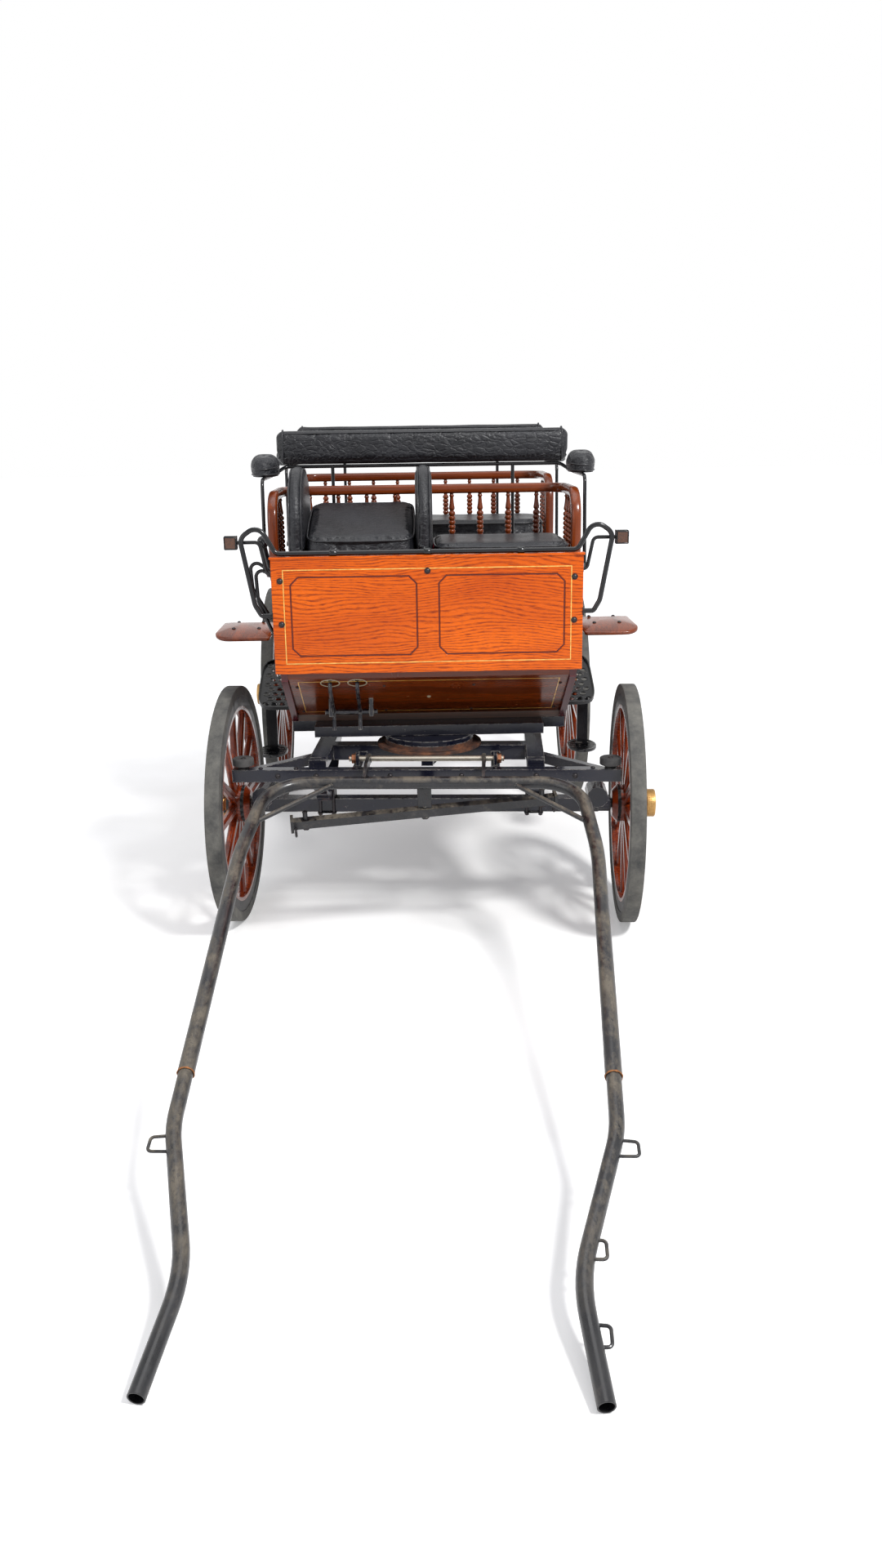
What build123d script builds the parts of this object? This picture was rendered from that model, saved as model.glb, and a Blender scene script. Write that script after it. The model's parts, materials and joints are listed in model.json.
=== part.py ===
"""Four-seat horse carriage, parked on its four wheels and on the tips of its shafts.

Millimetres, +Z up, the ground at z = 0. The carriage faces -Y, so its left side is at +X.
The driver sits on its right, at -X. Lengths along the carriage are given from the front axle.
"""

import os
from math import asin, atan2, ceil, cos, degrees, radians, sin, tan

from build123d import *

os.makedirs("parts", exist_ok=True)

# Wheels and axles
FRONT_WHEEL_R = 425
REAR_WHEEL_R = 500
HALF_TRACK = 700
WHEELBASE = 1600
TYRE_WIDTH = 50
TYRE_DEPTH = 36
FELLOE_WIDTH = 44
FELLOE_DEPTH = 50
FRONT_SPOKES = 12
REAR_SPOKES = 14
SPOKE_WIDTH = 38
SPOKE_THICKNESS = 28
SPOKE_TAPER = 10
SPOKE_CHAMFER = 7
NAVE_R = 66
NAVE_END_R = 46
NAVE_INNER_REACH = 52
NAVE_OUTER_REACH = 40
CAP_R = 50
CAP_LENGTH = 64
CAP_STEP = 6
CAP_FACE = 8
CAP_CLEARANCE = 6
STUB_R = 17
RUNNING_FIT = 0.1
AXLE_SECTION = 50
AXLE_HALF_LENGTH = 600
COLLAR_R = 30
COLLAR_GAP = 4
HUB_BLOCK_R = 38
HUB_BLOCK_DEPTH = 60
HUB_BLOCK_X = 592

# The fore-carriage stands turned a little to the carriage's right
REST_STEER = -3.6

# The shafts reach the ground ahead of the front axle
SHAFT_TIP_REACH = 2450
CROSSBAR_REACH = 380
CROSSBAR_Z = 610
SHAFT_TUBE_R = 21
SHAFT_TIP_TUBE_R = 18.5

# The origin lies under the middle of the length, between the shaft tips and the rear wheels
FRONT_AXLE_Y = (SHAFT_TIP_REACH - WHEELBASE - REAR_WHEEL_R) / 2
REAR_AXLE_Y = FRONT_AXLE_Y + WHEELBASE

# Body shell
FLOOR_TOP = 750
FLOOR_THICKNESS = 22
BODY_HALF_WIDTH = 485
SIDE_THICKNESS = 22
TOE_FOOT = 70
TOE_THICKNESS = 18
DASH_REAR = -265
DASH_THICKNESS = 24
DASH_HALF_WIDTH = BODY_HALF_WIDTH + 15
DASH_BOTTOM = 960
DASH_TOP = 1330
DASH_CAP_HEIGHT = 8
DASH_CAP_OVERHANG = 4
BODY_END = 1760
PANEL_THICKNESS = 18
DASH_PANEL_HALF_WIDTH = 205
DASH_PANEL_HALF_HEIGHT = 130
DASH_PANEL_X = 238
DASH_PANEL_CORNER = 26
ROUTED_GROOVE = 6
ROUTED_DEPTH = 3

# Seats: the rear row repeats the front one further back and a little higher
SEAT_FRONT = 335
SEAT_DEPTH = 530
SEAT_HALF_WIDTH = BODY_HALF_WIDTH + 105
SEAT_BOARD_BOTTOM = 1200
SEAT_BOARD_THICKNESS = 32
SEAT_BOX_INSET = 35
ROW_SPACING = 950
ROW_RISE = 10
GALLERY_RISE = 253
RAIL_SECTION = 38
RAIL_CHAMFER = 8
GALLERY_X = SEAT_HALF_WIDTH - 30
GALLERY_FRONT_SETBACK = 65
GALLERY_BACK_SETBACK = 50
GALLERY_ARCH_R = 95
GALLERY_PLAN_R = 80
SPINDLE_PITCH = 113
SPINDLES_EACH_WAY = 4
SIDE_SPINDLES = 3
SPINDLE_R = 14
SPINDLE_SIDES = 6
KNOB_SIDES = 10
CUSHION_HEIGHT = 78
CUSHION_INSET = 12
CUSHION_CORNER = 18
CUSHION_EDGE = 16
SOFT_GAP = 0.3
DRIVER_INNER_X = -30
DRIVER_OUTER_X = -443
DRIVER_FRONT_TOP = 103
DRIVER_BACK_TOP = 215
BOLSTER_THICKNESS = 56
BOLSTER_HEIGHT = 360
LAZYBACK_HALF_WIDTH = SEAT_HALF_WIDTH - 12
LAZYBACK_HEIGHT = 135
LAZYBACK_THICKNESS = 62
IRON_R = 7
IRON_X = SEAT_HALF_WIDTH + 8
IRON_ARM_RISE = 313
IRON_BAR_RISE = 345
LAZYBACK_BOTTOM = IRON_BAR_RISE + IRON_R + SOFT_GAP
STANCHION_X = 360
ARM_PAD_LENGTH = 220
ARM_PAD_HALF_WIDTH = 50
ARM_PAD_HEIGHT = 80
ARM_PAD_EDGE = 16
ARM_PAD_CORNER = 32

# Chassis and springs
RAIL_X = 370
RAIL_WIDTH = 60
CROSS_WIDTH = 40
CHASSIS_TOP = FLOOR_TOP - FLOOR_THICKNESS
CHASSIS_BOTTOM = CHASSIS_TOP - 38
CHASSIS_FRONT = -60
HANGER_MARGIN = 20
HANGER_PLATE = 7
CROSS_MEMBERS = (450, 900, 1350)
LEAF_THICKNESS = 8
LEAF_WIDTH = 42
LEAF_COUNT = 4
LEAF_STEP = 0.78
FRONT_SPRING_HALF = 210
REAR_SPRING_HALF = 260
SPRING_SAG = 72
SPRING_EYE_R = 13

# Turntable and fore-carriage
TURNTABLE_UPPER_R = 155
TURNTABLE_FLANGE_R = 184
TURNTABLE_TOP = CHASSIS_BOTTOM
TURNTABLE_UPPER_THICKNESS = 18
TURNTABLE_RING_THICKNESS = 14
TURNTABLE_RING_WIDTH = 30
TURNTABLE_FLANGE_THICKNESS = 10
TURNTABLE_GAP = 0.2
KINGPIN_R = 15
FORE_TOP = (
    TURNTABLE_TOP
    - TURNTABLE_UPPER_THICKNESS
    - TURNTABLE_GAP
    - TURNTABLE_RING_THICKNESS
    - TURNTABLE_FLANGE_THICKNESS
)
FORE_BEAM_HEIGHT = 54
FORE_BEAM_HALF_DEPTH = 30
FORE_RAIL_HEIGHT = 40
SPLINTER_REACH = 251
SPLINTER_DEPTH = 38
SPLINTER_HEIGHT = 44
SPLINTER_TOP = 624
SPLINTER_HALF_LENGTH = 655
ROLLER_X = 618
ROLLER_R = 36
ROLLER_HEIGHT = 26
ROLLER_STEM_R = 12
ROLLER_STEM_HEIGHT = 12
PIVOT_REACH = 205
PIVOT_Z = 646
PIVOT_ROD_R = 10
PIVOT_HALF_LENGTH = 262
PIVOT_EAR_X = 234
SHAFT_LUG_X = 195
LUG_THICKNESS = 12

# Swingletree, hung under the crossbar and left a little askew
SWINGLETREE_DROP = 112
SWINGLETREE_HALF_LENGTH = 440
SWINGLETREE_HEIGHT = 30
SWINGLETREE_DEPTH = 28
SWINGLETREE_YAW = 10
SWINGLETREE_BOLT_R = 9
TRACE_PEG_R = 8
TRACE_PEG_LENGTH = 30
TRACE_PEG_X = 395

# Bent rods and tubes are drawn with flats, thick ones with more of them, and their bends with chords
ROD_FLATS = 6
ROD_FLATS_THICK = 12
THICK_ROD_R = 12
BEND_CHORD = 22
DISC_FLATS = 32
CAP_FLATS = 24

# Fittings
REIN_RAIL_R = 9
LAMP_ROD_R = 6
FENDER_FRONT = 60
FENDER_LENGTH = 330
FENDER_INNER_X = BODY_HALF_WIDTH + 70
FENDER_OUTER_X = HALF_TRACK + 50
FENDER_Z = 1035
FENDER_THICKNESS = 14
FENDER_ARCH_R = 520
STEP_FRONT = 660
STEP_RUN = 310
STEP_LOW_Z = 630
STEP_HIGH_Z = 770
STEP_WIDTH = 200
STEP_PLATE = 5
STEP_RIM = 16
LOWER_STEP_X = BODY_HALF_WIDTH + 153
LOWER_STEP_Y = 720
LOWER_STEP_Z = 450
LOWER_STEP_LENGTH = 190
LOWER_STEP_WIDTH = 120
LOWER_STEP_THICKNESS = 12
PEDAL_XS = (-328, -238)
PEDAL_HOLE_R = 30


def save(part, name):
    """Label a finished piece and write it."""
    part.part.label = name
    export_step(part.part, f"parts/{name}.step")


def save_steered(part, name):
    """Turn a piece of the fore-carriage about the kingpin to where it stands, and write it."""
    about_kingpin = Location((0, FRONT_AXLE_Y, 0), (0, 0, REST_STEER))
    with BuildPart() as turned:
        add(part.part.moved(Location((0, -FRONT_AXLE_Y, 0))).moved(about_kingpin))
    save(turned, name)


def y_at(distance):
    """Where a distance behind the front axle lies in the part's frame."""
    return FRONT_AXLE_Y + distance


def flats_for(radius):
    """How many flats a rod of this radius is drawn with."""
    return ROD_FLATS_THICK if radius > THICK_ROD_R else ROD_FLATS


def square_to(along, across):
    """The part of one direction that lies square to another, as a unit vector."""
    return (across - along * across.dot(along)).normalized()


def rod(points, radius, bends):
    """A bent rod along straight runs joined by arcs, with an edge on top, flats round it and chords in its bends."""
    with BuildLine() as route:
        FilletPolyline(*points, radius=bends)
    path = route.wires()[0]
    stops = [0]
    for edge in path.order_edges():
        chords = 1
        if edge.geom_type == GeomType.CIRCLE:
            chords = max(2, ceil(degrees(edge.length / edge.radius) / BEND_CHORD))
        start = stops[-1]
        stops += [start + edge.length * part / chords for part in range(1, chords + 1)]
    across = square_to(path % 0, Vector(0, 0.02, 1))
    sections = []
    for stop in stops:
        share = min(stop / path.length, 1)
        along = path % share
        across = square_to(along, across)
        with BuildSketch(Plane(origin=path @ share, x_dir=across, z_dir=along)) as section:
            RegularPolygon(radius, flats_for(radius))
        sections.append(section.sketch)
    loft(sections=sections, ruled=True)


def straight_rod(start, end, radius, flats=0):
    """A straight rod between two points, round or with flats and an edge on top."""
    run = Vector(end) - Vector(start)
    along = run.normalized()
    with BuildSketch(Plane(origin=start, x_dir=square_to(along, Vector(0, 0.02, 1)), z_dir=along)) as section:
        if flats:
            RegularPolygon(radius, flats)
        else:
            Circle(radius)
    extrude(section.sketch, amount=run.length)


def block(x_range, y_range, z_range):
    """A plain block between two values on each axis."""
    sizes = [high - low for low, high in (x_range, y_range, z_range)]
    middle = [(low + high) / 2 for low, high in (x_range, y_range, z_range)]
    with Locations(tuple(middle)):
        Box(*sizes)


def side_profile(rows, x_start, thickness):
    """A plate across X whose outline is a table of (distance, height, corner radius)."""
    points = [(y_at(distance), height) for distance, height, _ in rows]
    with BuildSketch(Plane.YZ.offset(x_start)) as outline:
        with BuildLine():
            FilletPolyline(*points, radius=[corner for _, _, corner in rows], close=True)
        make_face()
    extrude(outline.sketch, amount=thickness)


# Wheels

def tyre(wheel_r, x, y):
    """A solid rubber tyre, flat across its tread."""
    with BuildPart() as piece:
        with BuildSketch(Plane.XY.offset(0)) as section:
            with Locations((0, wheel_r - TYRE_DEPTH / 2)):
                Rectangle(TYRE_WIDTH, TYRE_DEPTH)
        revolve(axis=Axis.X)
    return piece.part.moved(Location((x, y, wheel_r)))


def spoke(inner_r):
    """One spoke along +Z, chamfered, tapering from the nave to the felloe."""
    with BuildPart() as piece:
        with BuildSketch(Plane.XY.offset(NAVE_R - 10)) as foot:
            Rectangle(SPOKE_THICKNESS, SPOKE_WIDTH)
            chamfer(foot.vertices(), SPOKE_CHAMFER)
        with BuildSketch(Plane.XY.offset(inner_r + 6)) as head:
            Rectangle(SPOKE_THICKNESS - SPOKE_TAPER / 2, SPOKE_WIDTH - SPOKE_TAPER)
            chamfer(head.vertices(), SPOKE_CHAMFER - 1)
        loft(ruled=True)
    return piece.part


def wooden_wheel(wheel_r, spokes, x, y, side):
    """Felloe ring, tapered spokes and turned nave, with the axle's bore."""
    rim_r = wheel_r - TYRE_DEPTH
    inner_r = rim_r - FELLOE_DEPTH
    nave_profile = (
        (-NAVE_INNER_REACH, STUB_R + RUNNING_FIT),
        (-NAVE_INNER_REACH, NAVE_END_R),
        (-NAVE_INNER_REACH + 18, NAVE_R),
        (NAVE_OUTER_REACH - 12, NAVE_R),
        (NAVE_OUTER_REACH, NAVE_END_R),
        (NAVE_OUTER_REACH, STUB_R + RUNNING_FIT),
    )
    with BuildPart() as piece:
        with BuildSketch():
            with Locations((0, rim_r - FELLOE_DEPTH / 2)):
                Rectangle(FELLOE_WIDTH, FELLOE_DEPTH)
        revolve(axis=Axis.X)
        with BuildSketch():
            with BuildLine():
                Polyline(*nave_profile, close=True)
            make_face()
        revolve(axis=Axis.X)
        add([spoke(inner_r).moved(Location((0, 0, 0), (360 * index / spokes, 0, 0))) for index in range(spokes)])
    wheel = piece.part
    if side < 0:
        wheel = wheel.mirror(Plane.YZ)
    return wheel.moved(Location((x, y, wheel_r)))


def hub_cap(wheel_r, x, y, side):
    """A brass cap over the axle's end, stepped where its knurled half begins."""
    # Columns: start along the axle, length, radius, flats
    turned = (
        (0, CAP_LENGTH / 2, CAP_R - CAP_STEP, CAP_FLATS),
        (CAP_LENGTH / 2, CAP_LENGTH / 2, CAP_R, CAP_FLATS),
    )
    with BuildPart() as piece:
        for start, length, radius, flats in turned:
            with BuildSketch(Plane.YZ.offset(NAVE_OUTER_REACH + start)) as disc:
                RegularPolygon(radius, flats)
            extrude(disc.sketch, amount=length)
        with BuildSketch(Plane.YZ.offset(NAVE_OUTER_REACH)) as hollow:
            RegularPolygon(STUB_R + CAP_CLEARANCE, ROD_FLATS_THICK)
        extrude(hollow.sketch, amount=CAP_LENGTH - CAP_FACE, mode=Mode.SUBTRACT)
    cap = piece.part
    if side < 0:
        cap = cap.mirror(Plane.YZ)
    return cap.moved(Location((x, y, wheel_r)))


# Columns: corner, wheel radius, spokes, side, axle position
WHEELS = (
    ("front_left", FRONT_WHEEL_R, FRONT_SPOKES, 1, FRONT_AXLE_Y),
    ("front_right", FRONT_WHEEL_R, FRONT_SPOKES, -1, FRONT_AXLE_Y),
    ("rear_left", REAR_WHEEL_R, REAR_SPOKES, 1, REAR_AXLE_Y),
    ("rear_right", REAR_WHEEL_R, REAR_SPOKES, -1, REAR_AXLE_Y),
)

for corner, wheel_r, spokes, side, axle_y in WHEELS:
    wheel_x = side * HALF_TRACK
    pieces = {
        f"tyre_{corner}": tyre(wheel_r, wheel_x, axle_y),
        f"wheel_{corner}": wooden_wheel(wheel_r, spokes, wheel_x, axle_y, side),
        f"hub_cap_{corner}": hub_cap(wheel_r, wheel_x, axle_y, side),
    }
    for name, solid in pieces.items():
        with BuildPart() as wheel_piece:
            add(solid)
        if corner.startswith("front"):
            save_steered(wheel_piece, name)
        else:
            save(wheel_piece, name)


# Axles and springs

def axle(wheel_r, axle_y, with_blocks):
    """A square axle with collars, stubs in the naves and round blocks near its ends."""
    stub_end = HALF_TRACK + NAVE_OUTER_REACH + 12
    collar_end = HALF_TRACK - NAVE_INNER_REACH - COLLAR_GAP
    half = AXLE_SECTION / 2
    block((-AXLE_HALF_LENGTH, AXLE_HALF_LENGTH), (axle_y - half, axle_y + half),
          (wheel_r - half, wheel_r + half))
    for side in (-1, 1):
        straight_rod((side * (AXLE_HALF_LENGTH - 16), axle_y, wheel_r),
                     (side * collar_end, axle_y, wheel_r), COLLAR_R, ROD_FLATS_THICK)
    straight_rod((-stub_end, axle_y, wheel_r), (stub_end, axle_y, wheel_r), STUB_R)
    if with_blocks:
        block_z = wheel_r + half + 20
        for side in (-1, 1):
            straight_rod((side * HUB_BLOCK_X, axle_y - half - HUB_BLOCK_DEPTH, block_z),
                         (side * HUB_BLOCK_X, axle_y + half, block_z), HUB_BLOCK_R, ROD_FLATS_THICK)


def leaf_spring(axle_y, axle_top, half_length):
    """Stacked leaves on the axle, cambered up to an eye at each end of the longest."""
    leaf_r = (half_length**2 + SPRING_SAG**2) / (2 * SPRING_SAG)
    main_low = axle_top + LEAF_THICKNESS * (LEAF_COUNT - 1)
    centre_z = main_low + LEAF_THICKNESS / 2 + leaf_r
    for index in range(LEAF_COUNT):
        outer = leaf_r + LEAF_THICKNESS * (0.5 + index)
        half_angle = degrees(asin(half_length * LEAF_STEP**index / leaf_r))
        with BuildSketch(Plane.YZ.offset(RAIL_X - LEAF_WIDTH / 2)) as leaf:
            with BuildLine():
                CenterArc((axle_y, centre_z), outer, 270 - half_angle, 2 * half_angle)
                CenterArc((axle_y, centre_z), outer - LEAF_THICKNESS, 270 - half_angle, 2 * half_angle)
                for turn in (-half_angle, half_angle):
                    angle = radians(270 + turn)
                    Line(
                        (axle_y + outer * cos(angle), centre_z + outer * sin(angle)),
                        (axle_y + (outer - LEAF_THICKNESS) * cos(angle),
                         centre_z + (outer - LEAF_THICKNESS) * sin(angle)),
                    )
            make_face()
        extrude(leaf.sketch, amount=LEAF_WIDTH)
    eye_z = main_low + SPRING_SAG + LEAF_THICKNESS
    for end in (-1, 1):
        eye_y = axle_y + end * half_length
        straight_rod((RAIL_X - LEAF_WIDTH / 2, eye_y, eye_z),
                     (RAIL_X + LEAF_WIDTH / 2, eye_y, eye_z), SPRING_EYE_R, ROD_FLATS_THICK)
    clamp_half = AXLE_SECTION / 2
    block((RAIL_X - LEAF_WIDTH / 2 - 6, RAIL_X + LEAF_WIDTH / 2 + 6),
          (axle_y - clamp_half, axle_y + clamp_half),
          (axle_top + 2, main_low + LEAF_THICKNESS + 8))
    return eye_z


def hangers(axle_y, half_length, eye_z, top_z):
    """Cheek plates that hold both eyes of a spring under the rail above."""
    for end in (-1, 1):
        eye_y = axle_y + end * half_length
        for inner in (RAIL_X - LEAF_WIDTH / 2 - HANGER_PLATE, RAIL_X + LEAF_WIDTH / 2):
            block((inner, inner + HANGER_PLATE), (eye_y - 14, eye_y + 14), (eye_z - 12, top_z))


with BuildPart() as front_axle:
    axle(FRONT_WHEEL_R, FRONT_AXLE_Y, True)
save_steered(front_axle, "front_axle")

with BuildPart() as rear_axle:
    axle(REAR_WHEEL_R, REAR_AXLE_Y, False)
save(rear_axle, "rear_axle")

with BuildPart() as front_springs:
    front_eye_z = leaf_spring(FRONT_AXLE_Y, FRONT_WHEEL_R + AXLE_SECTION / 2, FRONT_SPRING_HALF)
    mirror(about=Plane.YZ)
save_steered(front_springs, "front_springs")

with BuildPart() as rear_springs:
    rear_eye_z = leaf_spring(REAR_AXLE_Y, REAR_WHEEL_R + AXLE_SECTION / 2, REAR_SPRING_HALF)
    mirror(about=Plane.YZ)
save(rear_springs, "rear_springs")


# Chassis and turntable

rail_span = (RAIL_X - RAIL_WIDTH / 2, RAIL_X + RAIL_WIDTH / 2)
toe_slope = atan2(DASH_BOTTOM - FLOOR_TOP, TOE_FOOT - DASH_REAR)
floor_front = TOE_FOOT - TOE_THICKNESS / sin(toe_slope)

with BuildPart() as chassis_frame:
    chassis_end = max(WHEELBASE + REAR_SPRING_HALF + HANGER_MARGIN, BODY_END)
    block(rail_span, (y_at(CHASSIS_FRONT), y_at(chassis_end)), (CHASSIS_BOTTOM, CHASSIS_TOP))
    hangers(REAR_AXLE_Y, REAR_SPRING_HALF, rear_eye_z, CHASSIS_BOTTOM)
    mirror(about=Plane.YZ)
    inner_half = rail_span[0]
    block((-BODY_HALF_WIDTH, BODY_HALF_WIDTH), (y_at(floor_front), y_at(floor_front + 55)),
          (CHASSIS_BOTTOM, CHASSIS_TOP))
    block((-inner_half, inner_half), (y_at(CHASSIS_FRONT), y_at(-CHASSIS_FRONT)),
          (CHASSIS_BOTTOM, CHASSIS_TOP))
    for member in CROSS_MEMBERS:
        block((-inner_half, inner_half), (y_at(member), y_at(member + CROSS_WIDTH)),
              (CHASSIS_BOTTOM, CHASSIS_TOP))
    block((-BODY_HALF_WIDTH, BODY_HALF_WIDTH), (y_at(BODY_END - CROSS_WIDTH), y_at(BODY_END)),
          (CHASSIS_BOTTOM, CHASSIS_TOP))
save(chassis_frame, "chassis_frame")

beam_bottom = FORE_TOP - FORE_BEAM_HEIGHT

with BuildPart() as turntable_upper:
    with BuildSketch(Plane.XY.offset(TURNTABLE_TOP)):
        with Locations((0, FRONT_AXLE_Y)):
            RegularPolygon(TURNTABLE_UPPER_R, DISC_FLATS)
    extrude(amount=-TURNTABLE_UPPER_THICKNESS)
    with BuildSketch(Plane.XY.offset(TURNTABLE_TOP)):
        with Locations((0, FRONT_AXLE_Y)):
            Circle(KINGPIN_R)
    extrude(amount=beam_bottom - 14 - TURNTABLE_TOP)
save(turntable_upper, "turntable_upper")

with BuildPart() as turntable_lower:
    with BuildSketch(Plane.XY.offset(FORE_TOP)):
        with Locations((0, FRONT_AXLE_Y)):
            RegularPolygon(TURNTABLE_FLANGE_R, DISC_FLATS)
            Circle(KINGPIN_R + RUNNING_FIT, mode=Mode.SUBTRACT)
    extrude(amount=TURNTABLE_FLANGE_THICKNESS)
    with BuildSketch(Plane.XY.offset(FORE_TOP + TURNTABLE_FLANGE_THICKNESS)):
        with Locations((0, FRONT_AXLE_Y)):
            RegularPolygon(TURNTABLE_UPPER_R, DISC_FLATS)
            RegularPolygon(TURNTABLE_UPPER_R - TURNTABLE_RING_WIDTH, DISC_FLATS, mode=Mode.SUBTRACT)
    extrude(amount=TURNTABLE_RING_THICKNESS)
save_steered(turntable_lower, "turntable_lower")

splinter_back = -SPLINTER_REACH + SPLINTER_DEPTH / 2
splinter_front = -SPLINTER_REACH - SPLINTER_DEPTH / 2
splinter_low = SPLINTER_TOP - SPLINTER_HEIGHT

with BuildPart() as fore_frame:
    block(rail_span, (y_at(splinter_back), y_at(FRONT_SPRING_HALF + HANGER_MARGIN)),
          (FORE_TOP - FORE_RAIL_HEIGHT, FORE_TOP))
    hangers(FRONT_AXLE_Y, FRONT_SPRING_HALF, front_eye_z, FORE_TOP - FORE_RAIL_HEIGHT)
    ear_span = (PIVOT_EAR_X - LUG_THICKNESS / 2, PIVOT_EAR_X + LUG_THICKNESS / 2)
    block((PIVOT_EAR_X - 15, PIVOT_EAR_X + 15), (y_at(splinter_back), y_at(-FORE_BEAM_HALF_DEPTH)),
          (splinter_low, SPLINTER_TOP))
    block(ear_span, (y_at(-PIVOT_REACH - 16), y_at(-PIVOT_REACH + 16)), (SPLINTER_TOP, PIVOT_Z + 18))
    with BuildSketch(Plane.XY.offset(splinter_low)):
        with BuildLine():
            Polyline(
                (RAIL_X + 10, y_at(-10)),
                (RAIL_X + 10, y_at(30)),
                (SPLINTER_HALF_LENGTH - 20, y_at(splinter_back)),
                (SPLINTER_HALF_LENGTH - 60, y_at(splinter_back)),
                close=True,
            )
        make_face()
    extrude(amount=SPLINTER_HEIGHT - 10)
    mirror(about=Plane.YZ)
    block((-rail_span[0], rail_span[0]), (y_at(-FORE_BEAM_HALF_DEPTH), y_at(FORE_BEAM_HALF_DEPTH)),
          (beam_bottom, FORE_TOP))
    block((-20, 20), (y_at(-TURNTABLE_FLANGE_R + 20), y_at(TURNTABLE_FLANGE_R - 20)),
          (FORE_TOP - FORE_RAIL_HEIGHT, FORE_TOP))
    with Locations((0, FRONT_AXLE_Y, beam_bottom)):
        Cylinder(KINGPIN_R + RUNNING_FIT, 4 * FORE_BEAM_HEIGHT, mode=Mode.SUBTRACT)
    with Locations(Location((0, y_at(-PIVOT_REACH), PIVOT_Z), (0, 90, 0))):
        Cylinder(PIVOT_ROD_R + RUNNING_FIT / 2, 4 * PIVOT_EAR_X, mode=Mode.SUBTRACT)
save_steered(fore_frame, "fore_frame")

with BuildPart() as splinter_bar:
    block((-SPLINTER_HALF_LENGTH, SPLINTER_HALF_LENGTH), (y_at(splinter_front), y_at(splinter_back)),
          (splinter_low, SPLINTER_TOP))
save_steered(splinter_bar, "splinter_bar")

with BuildPart() as roller_bolts:
    for side in (-1, 1):
        foot = (side * ROLLER_X, y_at(-SPLINTER_REACH), SPLINTER_TOP)
        neck = (foot[0], foot[1], SPLINTER_TOP + ROLLER_STEM_HEIGHT)
        top = (foot[0], foot[1], SPLINTER_TOP + ROLLER_STEM_HEIGHT + ROLLER_HEIGHT)
        straight_rod(foot, neck, ROLLER_STEM_R)
        straight_rod(neck, top, ROLLER_R, CAP_FLATS)
save_steered(roller_bolts, "roller_bolts")

with BuildPart() as shaft_pivot_rod:
    straight_rod((-PIVOT_HALF_LENGTH, y_at(-PIVOT_REACH), PIVOT_Z),
                 (PIVOT_HALF_LENGTH, y_at(-PIVOT_REACH), PIVOT_Z), PIVOT_ROD_R)
    nut_start = PIVOT_EAR_X + LUG_THICKNESS / 2
    for side in (-1, 1):
        with BuildSketch(Plane.YZ.offset(side * nut_start)) as nut:
            with Locations((y_at(-PIVOT_REACH), PIVOT_Z)):
                RegularPolygon(PIVOT_ROD_R * 1.6, 6)
        extrude(nut.sketch, amount=side * 14)
save_steered(shaft_pivot_rod, "shaft_pivot_rod")


# Shafts and swingletree

shaft_slope = atan2(CROSSBAR_Z - SHAFT_TIP_TUBE_R, SHAFT_TIP_REACH - CROSSBAR_REACH)
shaft_plane = Plane(
    origin=(0, y_at(-CROSSBAR_REACH), CROSSBAR_Z),
    x_dir=(1, 0, 0),
    z_dir=(0, -sin(shaft_slope), cos(shaft_slope)),
)


def on_shafts(x, reach, rise=0):
    """A point of the shafts' sloping plane, from its reach ahead of the front axle."""
    along = (reach - CROSSBAR_REACH) / cos(shaft_slope)
    return shaft_plane.from_local_coords((x, -along, rise))


# Columns: half spacing, reach ahead of the front axle, bend radius
SHAFT_ROUTE = (
    (508, CROSSBAR_REACH, 150),
    (540, 760, 1400),
    (508, 1815, 420),
    (402, 2190, 420),
    (434, SHAFT_TIP_REACH, 0),
)
JOINT_SETBACK = 165
JOINT_REACH = SHAFT_ROUTE[2][1] - JOINT_SETBACK
WELD_R = 23
WELD_LENGTH = 8
TUBE_WALL = 3.5
TIP_BORE_DEPTH = 70
BRACE_R = 8
BRACE_CROSSBAR_X = 285
BRACE_SIDE_REACH = 610
# Columns: reach ahead of the front axle, how far the loop stands out, sides that have it
SHAFT_LOOPS = ((1860, 56, (-1, 1)), (2120, 38, (1,)), (2310, 38, (1,)))
LOOP_LENGTH = 46
LOOP_BEND = 10
LOOP_R = 4


def shaft_x(reach):
    """Half the shafts' spacing at a reach ahead of the front axle, between the points of their route."""
    for (near_x, near_reach, _), (far_x, far_reach, _) in zip(SHAFT_ROUTE, SHAFT_ROUTE[1:]):
        if reach <= far_reach:
            return near_x + (far_x - near_x) * (reach - near_reach) / (far_reach - near_reach)
    return SHAFT_ROUTE[-1][0]


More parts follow.
